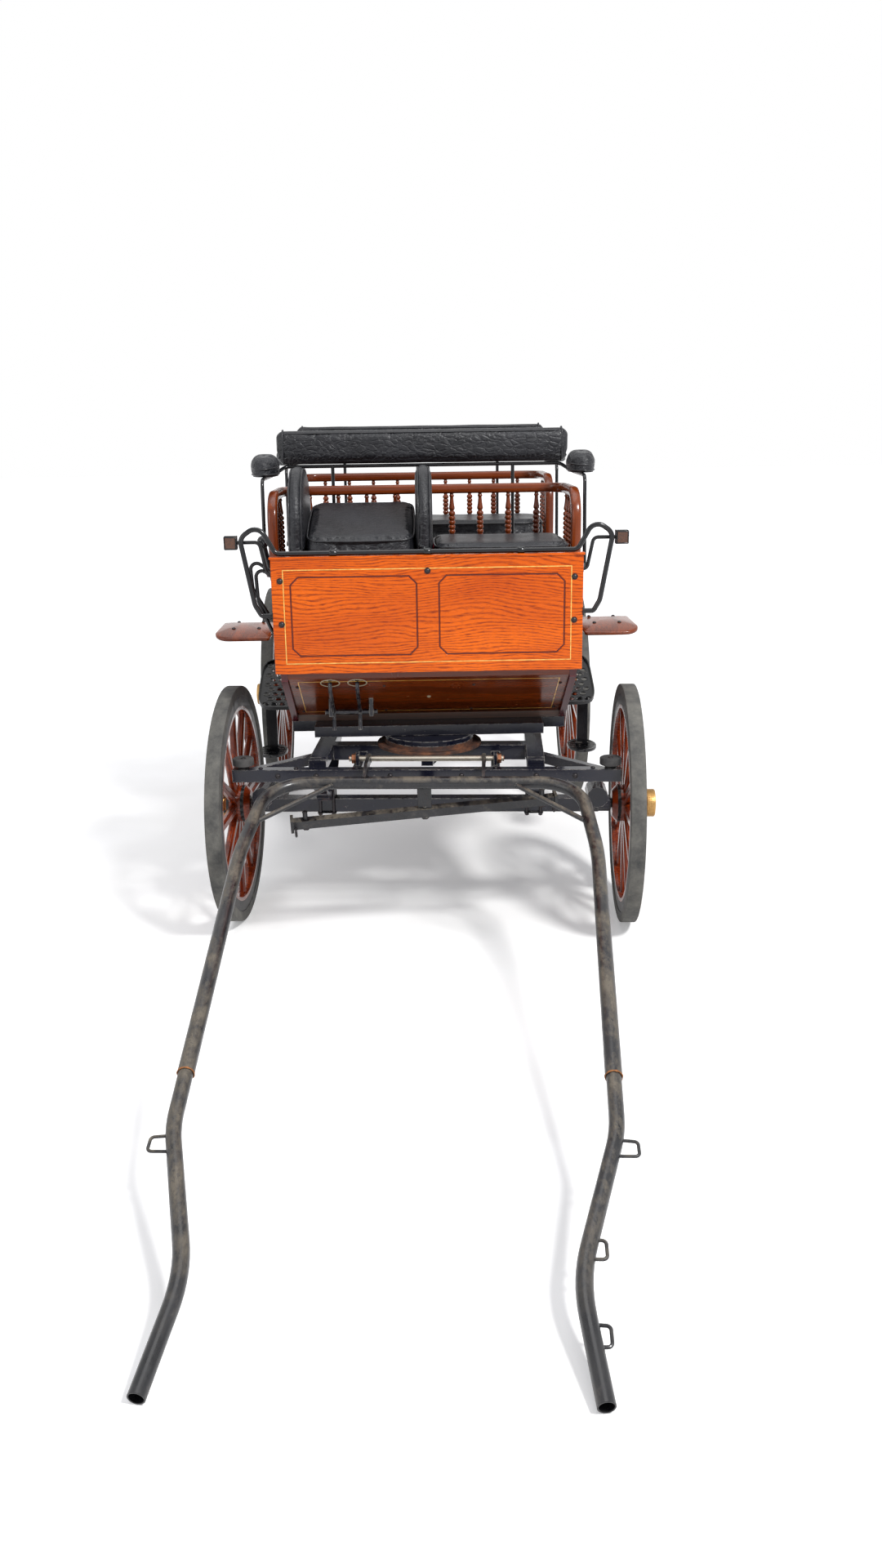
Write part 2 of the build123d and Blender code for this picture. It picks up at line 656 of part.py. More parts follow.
with BuildPart() as shafts:
    corner_x, corner_reach, corner_bend = SHAFT_ROUTE[0]
    wide_x, wide_reach, wide_bend = SHAFT_ROUTE[1]
    joint_x = shaft_x(JOINT_REACH)
    main_points = [
        on_shafts(-joint_x, JOINT_REACH),
        on_shafts(-wide_x, wide_reach),
        on_shafts(-corner_x, corner_reach),
        on_shafts(corner_x, corner_reach),
        on_shafts(wide_x, wide_reach),
        on_shafts(joint_x, JOINT_REACH),
    ]
    rod(main_points, SHAFT_TUBE_R, [wide_bend, corner_bend, corner_bend, wide_bend])
    for side in (-1, 1):
        joint = on_shafts(side * joint_x, JOINT_REACH)
        front_points = [on_shafts(side * x, reach) for x, reach, _ in SHAFT_ROUTE[2:]]
        rod([joint, *front_points], SHAFT_TIP_TUBE_R, [bend for _, _, bend in SHAFT_ROUTE[2:-1]])
        along = (front_points[0] - joint).normalized()
        straight_rod(joint - along * WELD_LENGTH / 2, joint + along * WELD_LENGTH / 2, WELD_R,
                     ROD_FLATS_THICK)
        tip = front_points[-1]
        inward = (front_points[-2] - tip).normalized()
        with BuildSketch(Plane(origin=tip, z_dir=inward)) as bore:
            RegularPolygon(SHAFT_TIP_TUBE_R - TUBE_WALL, ROD_FLATS_THICK)
        extrude(bore.sketch, amount=TIP_BORE_DEPTH, mode=Mode.SUBTRACT)
        straight_rod(on_shafts(side * BRACE_CROSSBAR_X, CROSSBAR_REACH),
                     on_shafts(side * shaft_x(BRACE_SIDE_REACH), BRACE_SIDE_REACH), BRACE_R, ROD_FLATS)
        for reach, out, sides in SHAFT_LOOPS:
            if side in sides:
                ends = (reach - LOOP_LENGTH / 2, reach + LOOP_LENGTH / 2)
                near, far = [on_shafts(side * shaft_x(end), end) for end in ends]
                near_out, far_out = [on_shafts(side * (shaft_x(end) + out), end) for end in ends]
                rod([near, near_out, far_out, far], LOOP_R, [LOOP_BEND, LOOP_BEND])
    for side in (-1, 1):
        lug_rows = (
            (-CROSSBAR_REACH - 12, CROSSBAR_Z - 6, 0),
            (-CROSSBAR_REACH - 12, CROSSBAR_Z + 14, 0),
            (-CROSSBAR_REACH + 55, PIVOT_Z + 16, 12),
            (-PIVOT_REACH + 16, PIVOT_Z + 16, 12),
            (-PIVOT_REACH + 16, PIVOT_Z - 15, 12),
            (-SPLINTER_REACH - SPLINTER_DEPTH / 2 - 16, PIVOT_Z - 15, 0),
            (-CROSSBAR_REACH + 10, CROSSBAR_Z - 6, 0),
        )
        side_profile(lug_rows, side * SHAFT_LUG_X - LUG_THICKNESS / 2, LUG_THICKNESS)
    with Locations(Location((0, y_at(-PIVOT_REACH), PIVOT_Z), (0, 90, 0))):
        Cylinder(PIVOT_ROD_R + RUNNING_FIT, 4 * SHAFT_LUG_X, mode=Mode.SUBTRACT)
    with BuildSketch(shaft_plane) as hanger:
        Rectangle(46, 12)
    extrude(hanger.sketch, amount=-SWINGLETREE_DROP + SWINGLETREE_HEIGHT / 2 + 1)
    with BuildSketch(shaft_plane) as bolt:
        Circle(SWINGLETREE_BOLT_R)
    extrude(bolt.sketch, amount=-SWINGLETREE_DROP - SWINGLETREE_HEIGHT / 2 - 10)
save_steered(shafts, "shafts")

swingletree_yaw = radians(SWINGLETREE_YAW)
swingletree_plane = Plane(
    origin=on_shafts(0, CROSSBAR_REACH, -SWINGLETREE_DROP),
    x_dir=shaft_plane.x_dir * cos(swingletree_yaw) + shaft_plane.y_dir * sin(swingletree_yaw),
    z_dir=shaft_plane.z_dir,
)

with BuildPart() as swingletree:
    half_height = SWINGLETREE_HEIGHT / 2
    with BuildSketch(swingletree_plane.offset(-half_height)) as bar:
        Rectangle(2 * SWINGLETREE_HALF_LENGTH, SWINGLETREE_DEPTH)
    extrude(bar.sketch, amount=SWINGLETREE_HEIGHT)
    with BuildSketch(swingletree_plane.offset(-half_height - 1)) as bore:
        Circle(SWINGLETREE_BOLT_R + RUNNING_FIT)
    extrude(bore.sketch, amount=SWINGLETREE_HEIGHT + 2, mode=Mode.SUBTRACT)
    for side in (-1, 1):
        with BuildSketch(swingletree_plane.offset(-half_height - 8)) as flange:
            with Locations((side * SWINGLETREE_HALF_LENGTH, 0)):
                Rectangle(10, SWINGLETREE_DEPTH + 14)
        extrude(flange.sketch, amount=SWINGLETREE_HEIGHT + 16)
        with BuildSketch(swingletree_plane.offset(half_height)) as peg:
            with Locations((side * TRACE_PEG_X, 0)):
                Circle(TRACE_PEG_R)
        extrude(peg.sketch, amount=TRACE_PEG_LENGTH)
save_steered(swingletree, "swingletree")


# Body shell

inner_half_width = BODY_HALF_WIDTH - SIDE_THICKNESS
toe_run = TOE_THICKNESS / sin(toe_slope)
toe_rise = TOE_THICKNESS / cos(toe_slope)

with BuildPart() as floor:
    block((-inner_half_width, inner_half_width), (y_at(floor_front), y_at(BODY_END - PANEL_THICKNESS)),
          (CHASSIS_TOP, FLOOR_TOP))
save(floor, "floor")

with BuildPart() as toe_board:
    toe_rows = (
        (TOE_FOOT, FLOOR_TOP, 0),
        (DASH_REAR, DASH_BOTTOM, 0),
        (DASH_REAR, DASH_BOTTOM - toe_rise, 0),
        (TOE_FOOT - toe_run, FLOOR_TOP, 0),
    )
    side_profile(toe_rows, -inner_half_width, 2 * inner_half_width)
    hole_distance = DASH_REAR + 45
    hole_z = FLOOR_TOP + (TOE_FOOT - hole_distance) * tan(toe_slope)
    hole_plane = Plane(
        origin=(0, y_at(hole_distance), hole_z),
        x_dir=(1, 0, 0),
        z_dir=(0, sin(toe_slope), cos(toe_slope)),
    )
    with BuildSketch(hole_plane.offset(-3 * TOE_THICKNESS)) as pedal_holes:
        with Locations(*[(x, 0) for x in PEDAL_XS]):
            Circle(PEDAL_HOLE_R)
    extrude(pedal_holes.sketch, amount=6 * TOE_THICKNESS, mode=Mode.SUBTRACT)
save(toe_board, "toe_board")

dash_front = DASH_REAR - DASH_THICKNESS

with BuildPart() as dash_panel:
    block((-DASH_HALF_WIDTH, DASH_HALF_WIDTH), (y_at(dash_front), y_at(DASH_REAR)),
          (DASH_BOTTOM, DASH_TOP))
    block((-DASH_HALF_WIDTH - DASH_CAP_OVERHANG, DASH_HALF_WIDTH + DASH_CAP_OVERHANG),
          (y_at(dash_front) - DASH_CAP_OVERHANG, y_at(DASH_REAR) + DASH_CAP_OVERHANG),
          (DASH_TOP, DASH_TOP + DASH_CAP_HEIGHT))
    dash_face = Plane(
        origin=(0, y_at(dash_front), (DASH_BOTTOM + DASH_TOP) / 2), x_dir=(1, 0, 0), z_dir=(0, -1, 0)
    )
    corner = DASH_PANEL_CORNER
    with BuildSketch(dash_face) as grooves:
        with Locations((-DASH_PANEL_X, 0), (DASH_PANEL_X, 0)):
            Rectangle(2 * DASH_PANEL_HALF_WIDTH, 2 * DASH_PANEL_HALF_HEIGHT)
        chamfer(grooves.vertices(), length=corner)
        offset(amount=-ROUTED_GROOVE, mode=Mode.SUBTRACT)
    extrude(grooves.sketch, amount=-ROUTED_DEPTH, mode=Mode.SUBTRACT)
save(dash_panel, "dash_panel")

rear_board_bottom = SEAT_BOARD_BOTTOM + ROW_RISE
front_box = (SEAT_FRONT + SEAT_BOX_INSET, SEAT_FRONT + SEAT_DEPTH - SEAT_BOX_INSET)
rear_box = (front_box[0] + ROW_SPACING, BODY_END)
FRONT_SILL_Z = 1055
REAR_SILL_Z = 812

# Columns: distance behind the front axle, height, corner radius
side_rows = (
    (floor_front, CHASSIS_TOP, 0),
    (DASH_REAR, DASH_BOTTOM - toe_rise - 8, 0),
    (DASH_REAR, DASH_TOP - 30, 0),
    (DASH_REAR + 50, DASH_TOP - 30, 20),
    (DASH_REAR + 150, FRONT_SILL_Z, 140),
    (front_box[0] - 20, FRONT_SILL_Z, 60),
    (front_box[0], SEAT_BOARD_BOTTOM, 0),
    (front_box[1], SEAT_BOARD_BOTTOM, 0),
    (front_box[1] + 30, REAR_SILL_Z, 90),
    (rear_box[0] - 30, REAR_SILL_Z, 90),
    (rear_box[0], rear_board_bottom, 0),
    (rear_box[1], rear_board_bottom, 0),
    (rear_box[1], CHASSIS_TOP, 40),
)

for name, side in (("body_side_left", 1), ("body_side_right", -1)):
    with BuildPart() as body_side:
        start = inner_half_width if side > 0 else -BODY_HALF_WIDTH
        side_profile(side_rows, start, SIDE_THICKNESS)
    save(body_side, name)

with BuildPart() as seat_boxes:
    # Columns: near face of the board, far face, height of its top
    seat_box_boards = (
        (front_box[0], front_box[0] + PANEL_THICKNESS, SEAT_BOARD_BOTTOM),
        (front_box[1] - PANEL_THICKNESS, front_box[1], SEAT_BOARD_BOTTOM),
        (rear_box[0], rear_box[0] + PANEL_THICKNESS, rear_board_bottom),
    )
    for near, far, top in seat_box_boards:
        block((-inner_half_width, inner_half_width), (y_at(near), y_at(far)), (FLOOR_TOP, top))
save(seat_boxes, "seat_boxes")

with BuildPart() as tail_panel:
    block((-inner_half_width, inner_half_width), (y_at(BODY_END - PANEL_THICKNESS), y_at(BODY_END)),
          (CHASSIS_TOP, rear_board_bottom))
save(tail_panel, "tail_panel")

# Columns: name of the row, how far back it lies, how much higher
ROWS = (("front", 0, 0), ("rear", ROW_SPACING, ROW_RISE))

with BuildPart() as seat_boards:
    for _, back, rise in ROWS:
        bottom = SEAT_BOARD_BOTTOM + rise
        middle = y_at(SEAT_FRONT + back + SEAT_DEPTH / 2)
        with BuildSketch(Plane.XY.offset(bottom)) as board:
            with Locations((0, middle)):
                RectangleRounded(2 * SEAT_HALF_WIDTH, SEAT_DEPTH, 45)
        extrude(board.sketch, amount=SEAT_BOARD_THICKNESS)
save(seat_boards, "seat_boards")


# Columns: height up the spindle as a share, radius as a share of the thickest; the beads come first
SPINDLE_TURNING = (
    (0.00, 0.95),
    (0.08, 0.60),
    (0.13, 1.00),
    (0.19, 0.60),
    (0.25, 1.00),
    (0.31, 0.60),
    (0.37, 1.00),
    (0.43, 0.60),
    (0.54, 0.90),
    (0.86, 0.50),
    (0.92, 0.70),
    (1.00, 0.60),
)
# The same for the brake lever's ball
KNOB_TURNING = ((0.00, 0.45), (0.18, 0.85), (0.50, 1.00), (0.82, 0.85), (1.00, 0.45))


def turned(turning, height, radius, sides):
    """A piece turned on the lathe to a table of heights and radii, with flats between its rings."""
    with BuildPart() as piece:
        for share, thickness in turning:
            with BuildSketch(Plane.XY.offset(share * height)):
                RegularPolygon(radius * thickness, sides)
        loft(ruled=True)
    return piece.part


def gallery(back, rise):
    """A mahogany rail bent round three sides of a seat, on turned spindles."""
    seat_top = SEAT_BOARD_BOTTOM + SEAT_BOARD_THICKNESS + rise
    rail_z = seat_top + GALLERY_RISE
    post_y = y_at(SEAT_FRONT + back + GALLERY_FRONT_SETBACK)
    back_y = y_at(SEAT_FRONT + back + SEAT_DEPTH - GALLERY_BACK_SETBACK)
    corner_y = back_y - 1.5 * GALLERY_PLAN_R
    with BuildLine() as side_route:
        FilletPolyline(
            (GALLERY_X, post_y, seat_top),
            (GALLERY_X, post_y, rail_z),
            (GALLERY_X, corner_y, rail_z),
            radius=GALLERY_ARCH_R,
        )
    with BuildSketch(Plane.XY.offset(seat_top)) as post:
        with Locations((GALLERY_X, post_y)):
            Rectangle(RAIL_SECTION, RAIL_SECTION)
        chamfer(post.vertices(), RAIL_CHAMFER)
    sweep(sections=post.sketch, path=side_route.wires()[0])
    with BuildLine() as back_route:
        FilletPolyline(
            (GALLERY_X, corner_y, rail_z),
            (GALLERY_X, back_y, rail_z),
            (0, back_y, rail_z),
            radius=GALLERY_PLAN_R,
        )
    with BuildSketch(Plane(origin=(GALLERY_X, corner_y, rail_z), z_dir=(0, 1, 0))) as rail:
        Rectangle(RAIL_SECTION, RAIL_SECTION)
        chamfer(rail.vertices(), RAIL_CHAMFER)
    sweep(sections=rail.sketch, path=back_route.wires()[0])
    mirror(about=Plane.YZ)
    side_pitch = (corner_y - post_y - GALLERY_ARCH_R / 2) / SIDE_SPINDLES
    feet = [(index * SPINDLE_PITCH, back_y) for index in range(-SPINDLES_EACH_WAY, SPINDLES_EACH_WAY + 1)]
    for index in range(SIDE_SPINDLES):
        side_y = corner_y - index * side_pitch
        feet += [(GALLERY_X, side_y), (-GALLERY_X, side_y)]
    spindle = turned(SPINDLE_TURNING, rail_z - RAIL_SECTION / 4 - seat_top, SPINDLE_R, SPINDLE_SIDES)
    add([spindle.moved(Location((x, y, seat_top))) for x, y in feet])


with BuildPart() as front_gallery:
    gallery(0, 0)
save(front_gallery, "front_gallery")

with BuildPart() as rear_gallery:
    gallery(ROW_SPACING, ROW_RISE)
save(rear_gallery, "rear_gallery")


# Upholstery

def cushion(x_range, back, rise, height):
    """A flat seat cushion inside the gallery."""
    base = SEAT_BOARD_BOTTOM + SEAT_BOARD_THICKNESS + rise + SOFT_GAP
    front = SEAT_FRONT + back + CUSHION_INSET
    rear = SEAT_FRONT + back + SEAT_DEPTH - GALLERY_BACK_SETBACK - RAIL_SECTION / 2 - CUSHION_INSET
    block(x_range, (y_at(front), y_at(rear)), (base, base + height))


cushion_half = GALLERY_X - RAIL_SECTION / 2 - 2
with BuildPart() as passenger_cushion:
    inner_bolster_end = DRIVER_INNER_X + BOLSTER_THICKNESS + 4
    cushion((inner_bolster_end + 2, cushion_half), 0, 0, CUSHION_HEIGHT)
    chamfer(passenger_cushion.edges().filter_by(Axis.Z), CUSHION_CORNER)
    chamfer(passenger_cushion.faces().sort_by(Axis.Z)[-1].edges(), CUSHION_EDGE)
save(passenger_cushion, "passenger_cushion")

with BuildPart() as rear_cushion:
    cushion((-cushion_half, cushion_half), ROW_SPACING, ROW_RISE, CUSHION_HEIGHT)
    chamfer(rear_cushion.edges().filter_by(Axis.Z), CUSHION_CORNER)
    chamfer(rear_cushion.faces().sort_by(Axis.Z)[-1].edges(), CUSHION_EDGE)
save(rear_cushion, "rear_cushion")

seat_top = SEAT_BOARD_BOTTOM + SEAT_BOARD_THICKNESS + SOFT_GAP
cushion_front = SEAT_FRONT + CUSHION_INSET
cushion_back = SEAT_FRONT + SEAT_DEPTH - GALLERY_BACK_SETBACK - RAIL_SECTION / 2 - CUSHION_INSET

with BuildPart() as driver_cushion:
    wedge_rows = (
        (cushion_front, seat_top, 0),
        (cushion_back, seat_top, 0),
        (cushion_back, seat_top + DRIVER_BACK_TOP, 30),
        (cushion_front, seat_top + DRIVER_FRONT_TOP, 35),
    )
    side_profile(wedge_rows, DRIVER_OUTER_X, DRIVER_INNER_X - 4 - DRIVER_OUTER_X)
save(driver_cushion, "driver_cushion")

with BuildPart() as driver_bolsters:
    bolster_rows = (
        (cushion_front + 25, seat_top, 0),
        (cushion_back, seat_top, 0),
        (cushion_back, seat_top + BOLSTER_HEIGHT, 190),
        (cushion_front + 25, seat_top + BOLSTER_HEIGHT, 205),
    )
    side_profile(bolster_rows, DRIVER_INNER_X, BOLSTER_THICKNESS)
    side_profile(bolster_rows, DRIVER_OUTER_X - 4 - BOLSTER_THICKNESS, BOLSTER_THICKNESS)
save(driver_bolsters, "driver_bolsters")

lazyback_front = SEAT_DEPTH - GALLERY_BACK_SETBACK + RAIL_SECTION / 2 - 4

with BuildPart() as lazybacks:
    for _, back, rise in ROWS:
        base = SEAT_BOARD_BOTTOM + SEAT_BOARD_THICKNESS + rise + LAZYBACK_BOTTOM
        front = SEAT_FRONT + back + lazyback_front
        with BuildSketch(Plane.YZ.offset(-LAZYBACK_HALF_WIDTH)) as roll:
            with Locations((y_at(front + LAZYBACK_THICKNESS / 2), base + LAZYBACK_HEIGHT / 2)):
                RectangleRounded(LAZYBACK_THICKNESS, LAZYBACK_HEIGHT, LAZYBACK_THICKNESS / 2 - 3)
        extrude(roll.sketch, amount=2 * LAZYBACK_HALF_WIDTH)
save(lazybacks, "lazybacks")

iron_y = SEAT_FRONT + lazyback_front + LAZYBACK_THICKNESS / 2
arm_front = SEAT_FRONT + 125

with BuildPart() as back_irons:
    for _, back, rise in ROWS:
        seat_z = SEAT_BOARD_BOTTOM + SEAT_BOARD_THICKNESS + rise
        side_foot = seat_z - SEAT_BOARD_THICKNESS / 2
        for side in (-1, 1):
            rod(
                [
                    (side * IRON_X, y_at(arm_front + back - 30), side_foot),
                    (side * IRON_X, y_at(arm_front + back), seat_z + IRON_ARM_RISE),
                    (side * IRON_X, y_at(iron_y + back - 70), seat_z + IRON_ARM_RISE),
                    (side * (IRON_X - 50), y_at(iron_y + back), seat_z + IRON_BAR_RISE),
                    (side * (IRON_X - 160), y_at(iron_y + back), seat_z + IRON_BAR_RISE),
                ],
                IRON_R,
                [30, 30, 30],
            )
            straight_rod((side * STANCHION_X, y_at(iron_y + back), seat_z),
                         (side * STANCHION_X, y_at(iron_y + back), seat_z + IRON_BAR_RISE), IRON_R, ROD_FLATS)
        reach = IRON_X - 150
        straight_rod((-reach, y_at(iron_y + back), seat_z + IRON_BAR_RISE),
                     (reach, y_at(iron_y + back), seat_z + IRON_BAR_RISE), IRON_R, ROD_FLATS)
save(back_irons, "back_irons")

with BuildPart() as arm_pads:
    for _, back, rise in ROWS:
        pad_base = SEAT_BOARD_BOTTOM + SEAT_BOARD_THICKNESS + rise + IRON_ARM_RISE + IRON_R + SOFT_GAP
        middle = y_at(arm_front + back + 25 + ARM_PAD_LENGTH / 2)
        with BuildSketch(Plane.XY.offset(pad_base)) as pad:
            with Locations((IRON_X, middle), (-IRON_X, middle)):
                Rectangle(2 * ARM_PAD_HALF_WIDTH, ARM_PAD_LENGTH)
            chamfer(pad.vertices(), ARM_PAD_CORNER)
        extrude(pad.sketch, amount=ARM_PAD_HEIGHT)
    chamfer(arm_pads.faces().filter_by(Plane.XY).edges(), ARM_PAD_EDGE)
save(arm_pads, "arm_pads")


# Dash fittings

rail_z = DASH_TOP + DASH_CAP_HEIGHT + REIN_RAIL_R
rail_y = y_at(dash_front + DASH_THICKNESS / 2)
# Columns: distance from the middle, height, bend radius
HOOP_ROUTE = (
    (DASH_HALF_WIDTH - 18, rail_z, 26),
    (DASH_HALF_WIDTH + 34, 1440, 34),
    (DASH_HALF_WIDTH + 94, 1398, 34),
    (DASH_HALF_WIDTH + 74, 1286, 60),
    (DASH_HALF_WIDTH + 56, 1185, 45),
    (DASH_HALF_WIDTH + 36, 1150, 12),
    (DASH_HALF_WIDTH, 1150, 0),
)

with BuildPart() as rein_rail:
    left = [(x, rail_y, z) for x, z, _ in HOOP_ROUTE]
    right = [(-x, y, z) for x, y, z in reversed(left)]
    bends = [bend for _, _, bend in HOOP_ROUTE[:-1]]
    rod(right + left, REIN_RAIL_R - 1, bends[::-1] + bends)
    for x in (-300, 0, 300):
        block((x - 12, x + 12), (rail_y - 8, rail_y + 8), (DASH_TOP + DASH_CAP_HEIGHT, rail_z))
save(rein_rail, "rein_rail")

LAMP_X = DASH_HALF_WIDTH + 126
LAMP_Z = 1382
LAMP_SIZE = 40
lamp_y = y_at(DASH_REAR + 16)

with BuildPart() as lamp_brackets:
    for side in (-1, 1):
        rod(
            [
                (side * (BODY_HALF_WIDTH + 1), lamp_y, 1280),
                (side * (BODY_HALF_WIDTH + 31), lamp_y, 1284),
                (side * (BODY_HALF_WIDTH + 51), lamp_y, LAMP_Z),
                (side * (LAMP_X - LAMP_SIZE / 2), lamp_y, LAMP_Z),
            ],
            LAMP_ROD_R,
            [14, 18],
        )
save(lamp_brackets, "lamp_brackets")

with BuildPart() as lamps:
    for side in (-1, 1):
        with Locations((side * LAMP_X, lamp_y, LAMP_Z)):
            Box(LAMP_SIZE, LAMP_SIZE * 0.7, LAMP_SIZE * 1.1)
save(lamps, "lamps")

with BuildPart() as lamp_lenses:
    for side in (-1, 1):
        with Locations((side * LAMP_X, lamp_y - LAMP_SIZE * 0.35 - 4, LAMP_Z)):
            Box(LAMP_SIZE * 0.8, 8, LAMP_SIZE * 0.85)
save(lamp_lenses, "lamp_lenses")


# Hand brake and pedals

BRAKE_PIVOT = (-BODY_HALF_WIDTH - 16, y_at(-60), 1010)
BRAKE_KNOB = (-BODY_HALF_WIDTH - 43, y_at(-205), 1380)
BRAKE_KNOB_R = 20
QUADRANT_R = 150
QUADRANT_WIDTH = 22
QUADRANT_THICKNESS = 6
QUADRANT_START = 70
QUADRANT_SWEEP = 80
QUADRANT_NOTCHES = 10
NOTCH_PITCH = QUADRANT_SWEEP / QUADRANT_NOTCHES
NOTCH_DEPTH = 8

with BuildPart() as brake_lever:
    rod([BRAKE_PIVOT, (BRAKE_PIVOT[0], y_at(-130), 1200), BRAKE_KNOB], 8, [90])
    knob = turned(KNOB_TURNING, 2 * BRAKE_KNOB_R, BRAKE_KNOB_R, KNOB_SIDES)
    add(knob.moved(Location((BRAKE_KNOB[0], BRAKE_KNOB[1], BRAKE_KNOB[2] - BRAKE_KNOB_R))))
    straight_rod((-BODY_HALF_WIDTH, BRAKE_PIVOT[1], BRAKE_PIVOT[2]),
                 (BRAKE_PIVOT[0] - 12, BRAKE_PIVOT[1], BRAKE_PIVOT[2]), 16, ROD_FLATS_THICK)
save(brake_lever, "brake_lever")

with BuildPart() as brake_quadrant:
    with BuildSketch(Plane.YZ.offset(-BODY_HALF_WIDTH - QUADRANT_THICKNESS)) as sector:
        with BuildLine():
            outer = CenterArc((BRAKE_PIVOT[1], BRAKE_PIVOT[2]), QUADRANT_R, QUADRANT_START, QUADRANT_SWEEP)
            inner = CenterArc((BRAKE_PIVOT[1], BRAKE_PIVOT[2]), QUADRANT_R - QUADRANT_WIDTH, QUADRANT_START,
                              QUADRANT_SWEEP)
            Line(outer @ 0, inner @ 0)
            Line(outer @ 1, inner @ 1)
        make_face()
    extrude(sector.sketch, amount=QUADRANT_THICKNESS)
    with BuildSketch(Plane.YZ.offset(-BODY_HALF_WIDTH - QUADRANT_THICKNESS)) as notches:
        for index in range(QUADRANT_NOTCHES):
            turn = QUADRANT_START + NOTCH_PITCH * (index + 0.5)
            place = (BRAKE_PIVOT[1] + QUADRANT_R * cos(radians(turn)),
                     BRAKE_PIVOT[2] + QUADRANT_R * sin(radians(turn)))
            with Locations(Location(place, turn)):
                Rectangle(NOTCH_DEPTH, NOTCH_DEPTH, rotation=45)
    extrude(notches.sketch, amount=QUADRANT_THICKNESS, mode=Mode.SUBTRACT)
    guard_y = rail_y + 46
    for inset, low_z in ((0, 1190), (16, 1150)):
        rod(
            [
                (-BODY_HALF_WIDTH, guard_y, 1290 - inset),
                (-BODY_HALF_WIDTH - 24, guard_y, 1290 - inset),
                (-BODY_HALF_WIDTH - 87 + inset, guard_y, 1334 - inset),
                (-BODY_HALF_WIDTH - 81 + inset, guard_y, low_z + 40),
                (-BODY_HALF_WIDTH - 24, guard_y, low_z - 60),
                (-BODY_HALF_WIDTH, guard_y, low_z - 60),
            ],
            6,
            [12, 20, 60, 12],
        )
save(brake_quadrant, "brake_quadrant")

PEDAL_SHAFT_DISTANCE = -88
PEDAL_LUG = 14
PEDAL_SHAFT = (y_at(PEDAL_SHAFT_DISTANCE), 786)
pedal_side = (min(PEDAL_XS) - 30, max(PEDAL_XS) + 60)

with BuildPart() as brake_pedals:
    shaft_y, shaft_z = PEDAL_SHAFT
    straight_rod((pedal_side[0], shaft_y, shaft_z), (pedal_side[1], shaft_y, shaft_z), 9, ROD_FLATS)
    for x in (pedal_side[0] + PEDAL_LUG, pedal_side[1] - 2 * PEDAL_LUG):
        lug_rows = [(PEDAL_SHAFT_DISTANCE + end * PEDAL_LUG, shaft_z - PEDAL_LUG, 0) for end in (-1, 1)]
        lug_rows += [
            (
                PEDAL_SHAFT_DISTANCE + end * PEDAL_LUG,
                FLOOR_TOP + (TOE_FOOT - PEDAL_SHAFT_DISTANCE - end * PEDAL_LUG) * tan(toe_slope) - toe_rise,
                0,
            )
            for end in (1, -1)
        ]
        side_profile(lug_rows, x, PEDAL_LUG)
    for x in PEDAL_XS:
        rod(
            [
                (x, shaft_y, shaft_z),
                (x, y_at(hole_distance - 30), hole_z - 30),
                (x, y_at(hole_distance + 55), hole_z + 75),
            ],
            7,
            [24],
        )
        straight_rod((x, shaft_y, shaft_z), (x, shaft_y - 8, shaft_z - 62), 7, ROD_FLATS)
        with Locations(Location((x, y_at(hole_distance + 58), hole_z + 80), (40, 0, 0))):
            Box(66, 90, 10)
save(brake_pedals, "brake_pedals")


# Fenders over the front wheels and steps beside the body

fender_top = FENDER_Z + FENDER_THICKNESS
fender_middle = y_at(FENDER_FRONT + FENDER_LENGTH / 2)

with BuildPart() as fender_boards:
    arch_half = degrees(asin(FENDER_LENGTH / 2 / FENDER_ARCH_R))
    arch_centre = (fender_middle, fender_top - FENDER_ARCH_R)
    with BuildSketch(Plane.YZ.offset(FENDER_INNER_X)) as board:
        with BuildLine():
            top = CenterArc(arch_centre, FENDER_ARCH_R, 90 - arch_half, 2 * arch_half)
            under = CenterArc(arch_centre, FENDER_ARCH_R - FENDER_THICKNESS, 90 - arch_half, 2 * arch_half)
            Line(top @ 0, under @ 0)
            Line(top @ 1, under @ 1)
        make_face()
    extrude(board.sketch, amount=FENDER_OUTER_X - FENDER_INNER_X)
    mirror(about=Plane.YZ)
save(fender_boards, "fender_boards")

with BuildPart() as fender_brackets:
    for distance in (FENDER_FRONT + 90, FENDER_FRONT + FENDER_LENGTH - 90):
        rise = FENDER_ARCH_R - FENDER_THICKNESS - (
            (FENDER_ARCH_R - FENDER_THICKNESS) ** 2
            - (abs(distance - FENDER_FRONT - FENDER_LENGTH / 2) + 14) ** 2
        ) ** 0.5
        top = FENDER_Z - rise
        block((BODY_HALF_WIDTH, FENDER_OUTER_X - 40), (y_at(distance - 14), y_at(distance + 14)),
              (top - 8, top))
        block((BODY_HALF_WIDTH, BODY_HALF_WIDTH + 8), (y_at(distance - 14), y_at(distance + 14)),
              (top - 90, top))
    mirror(about=Plane.YZ)
save(fender_brackets, "fender_brackets")

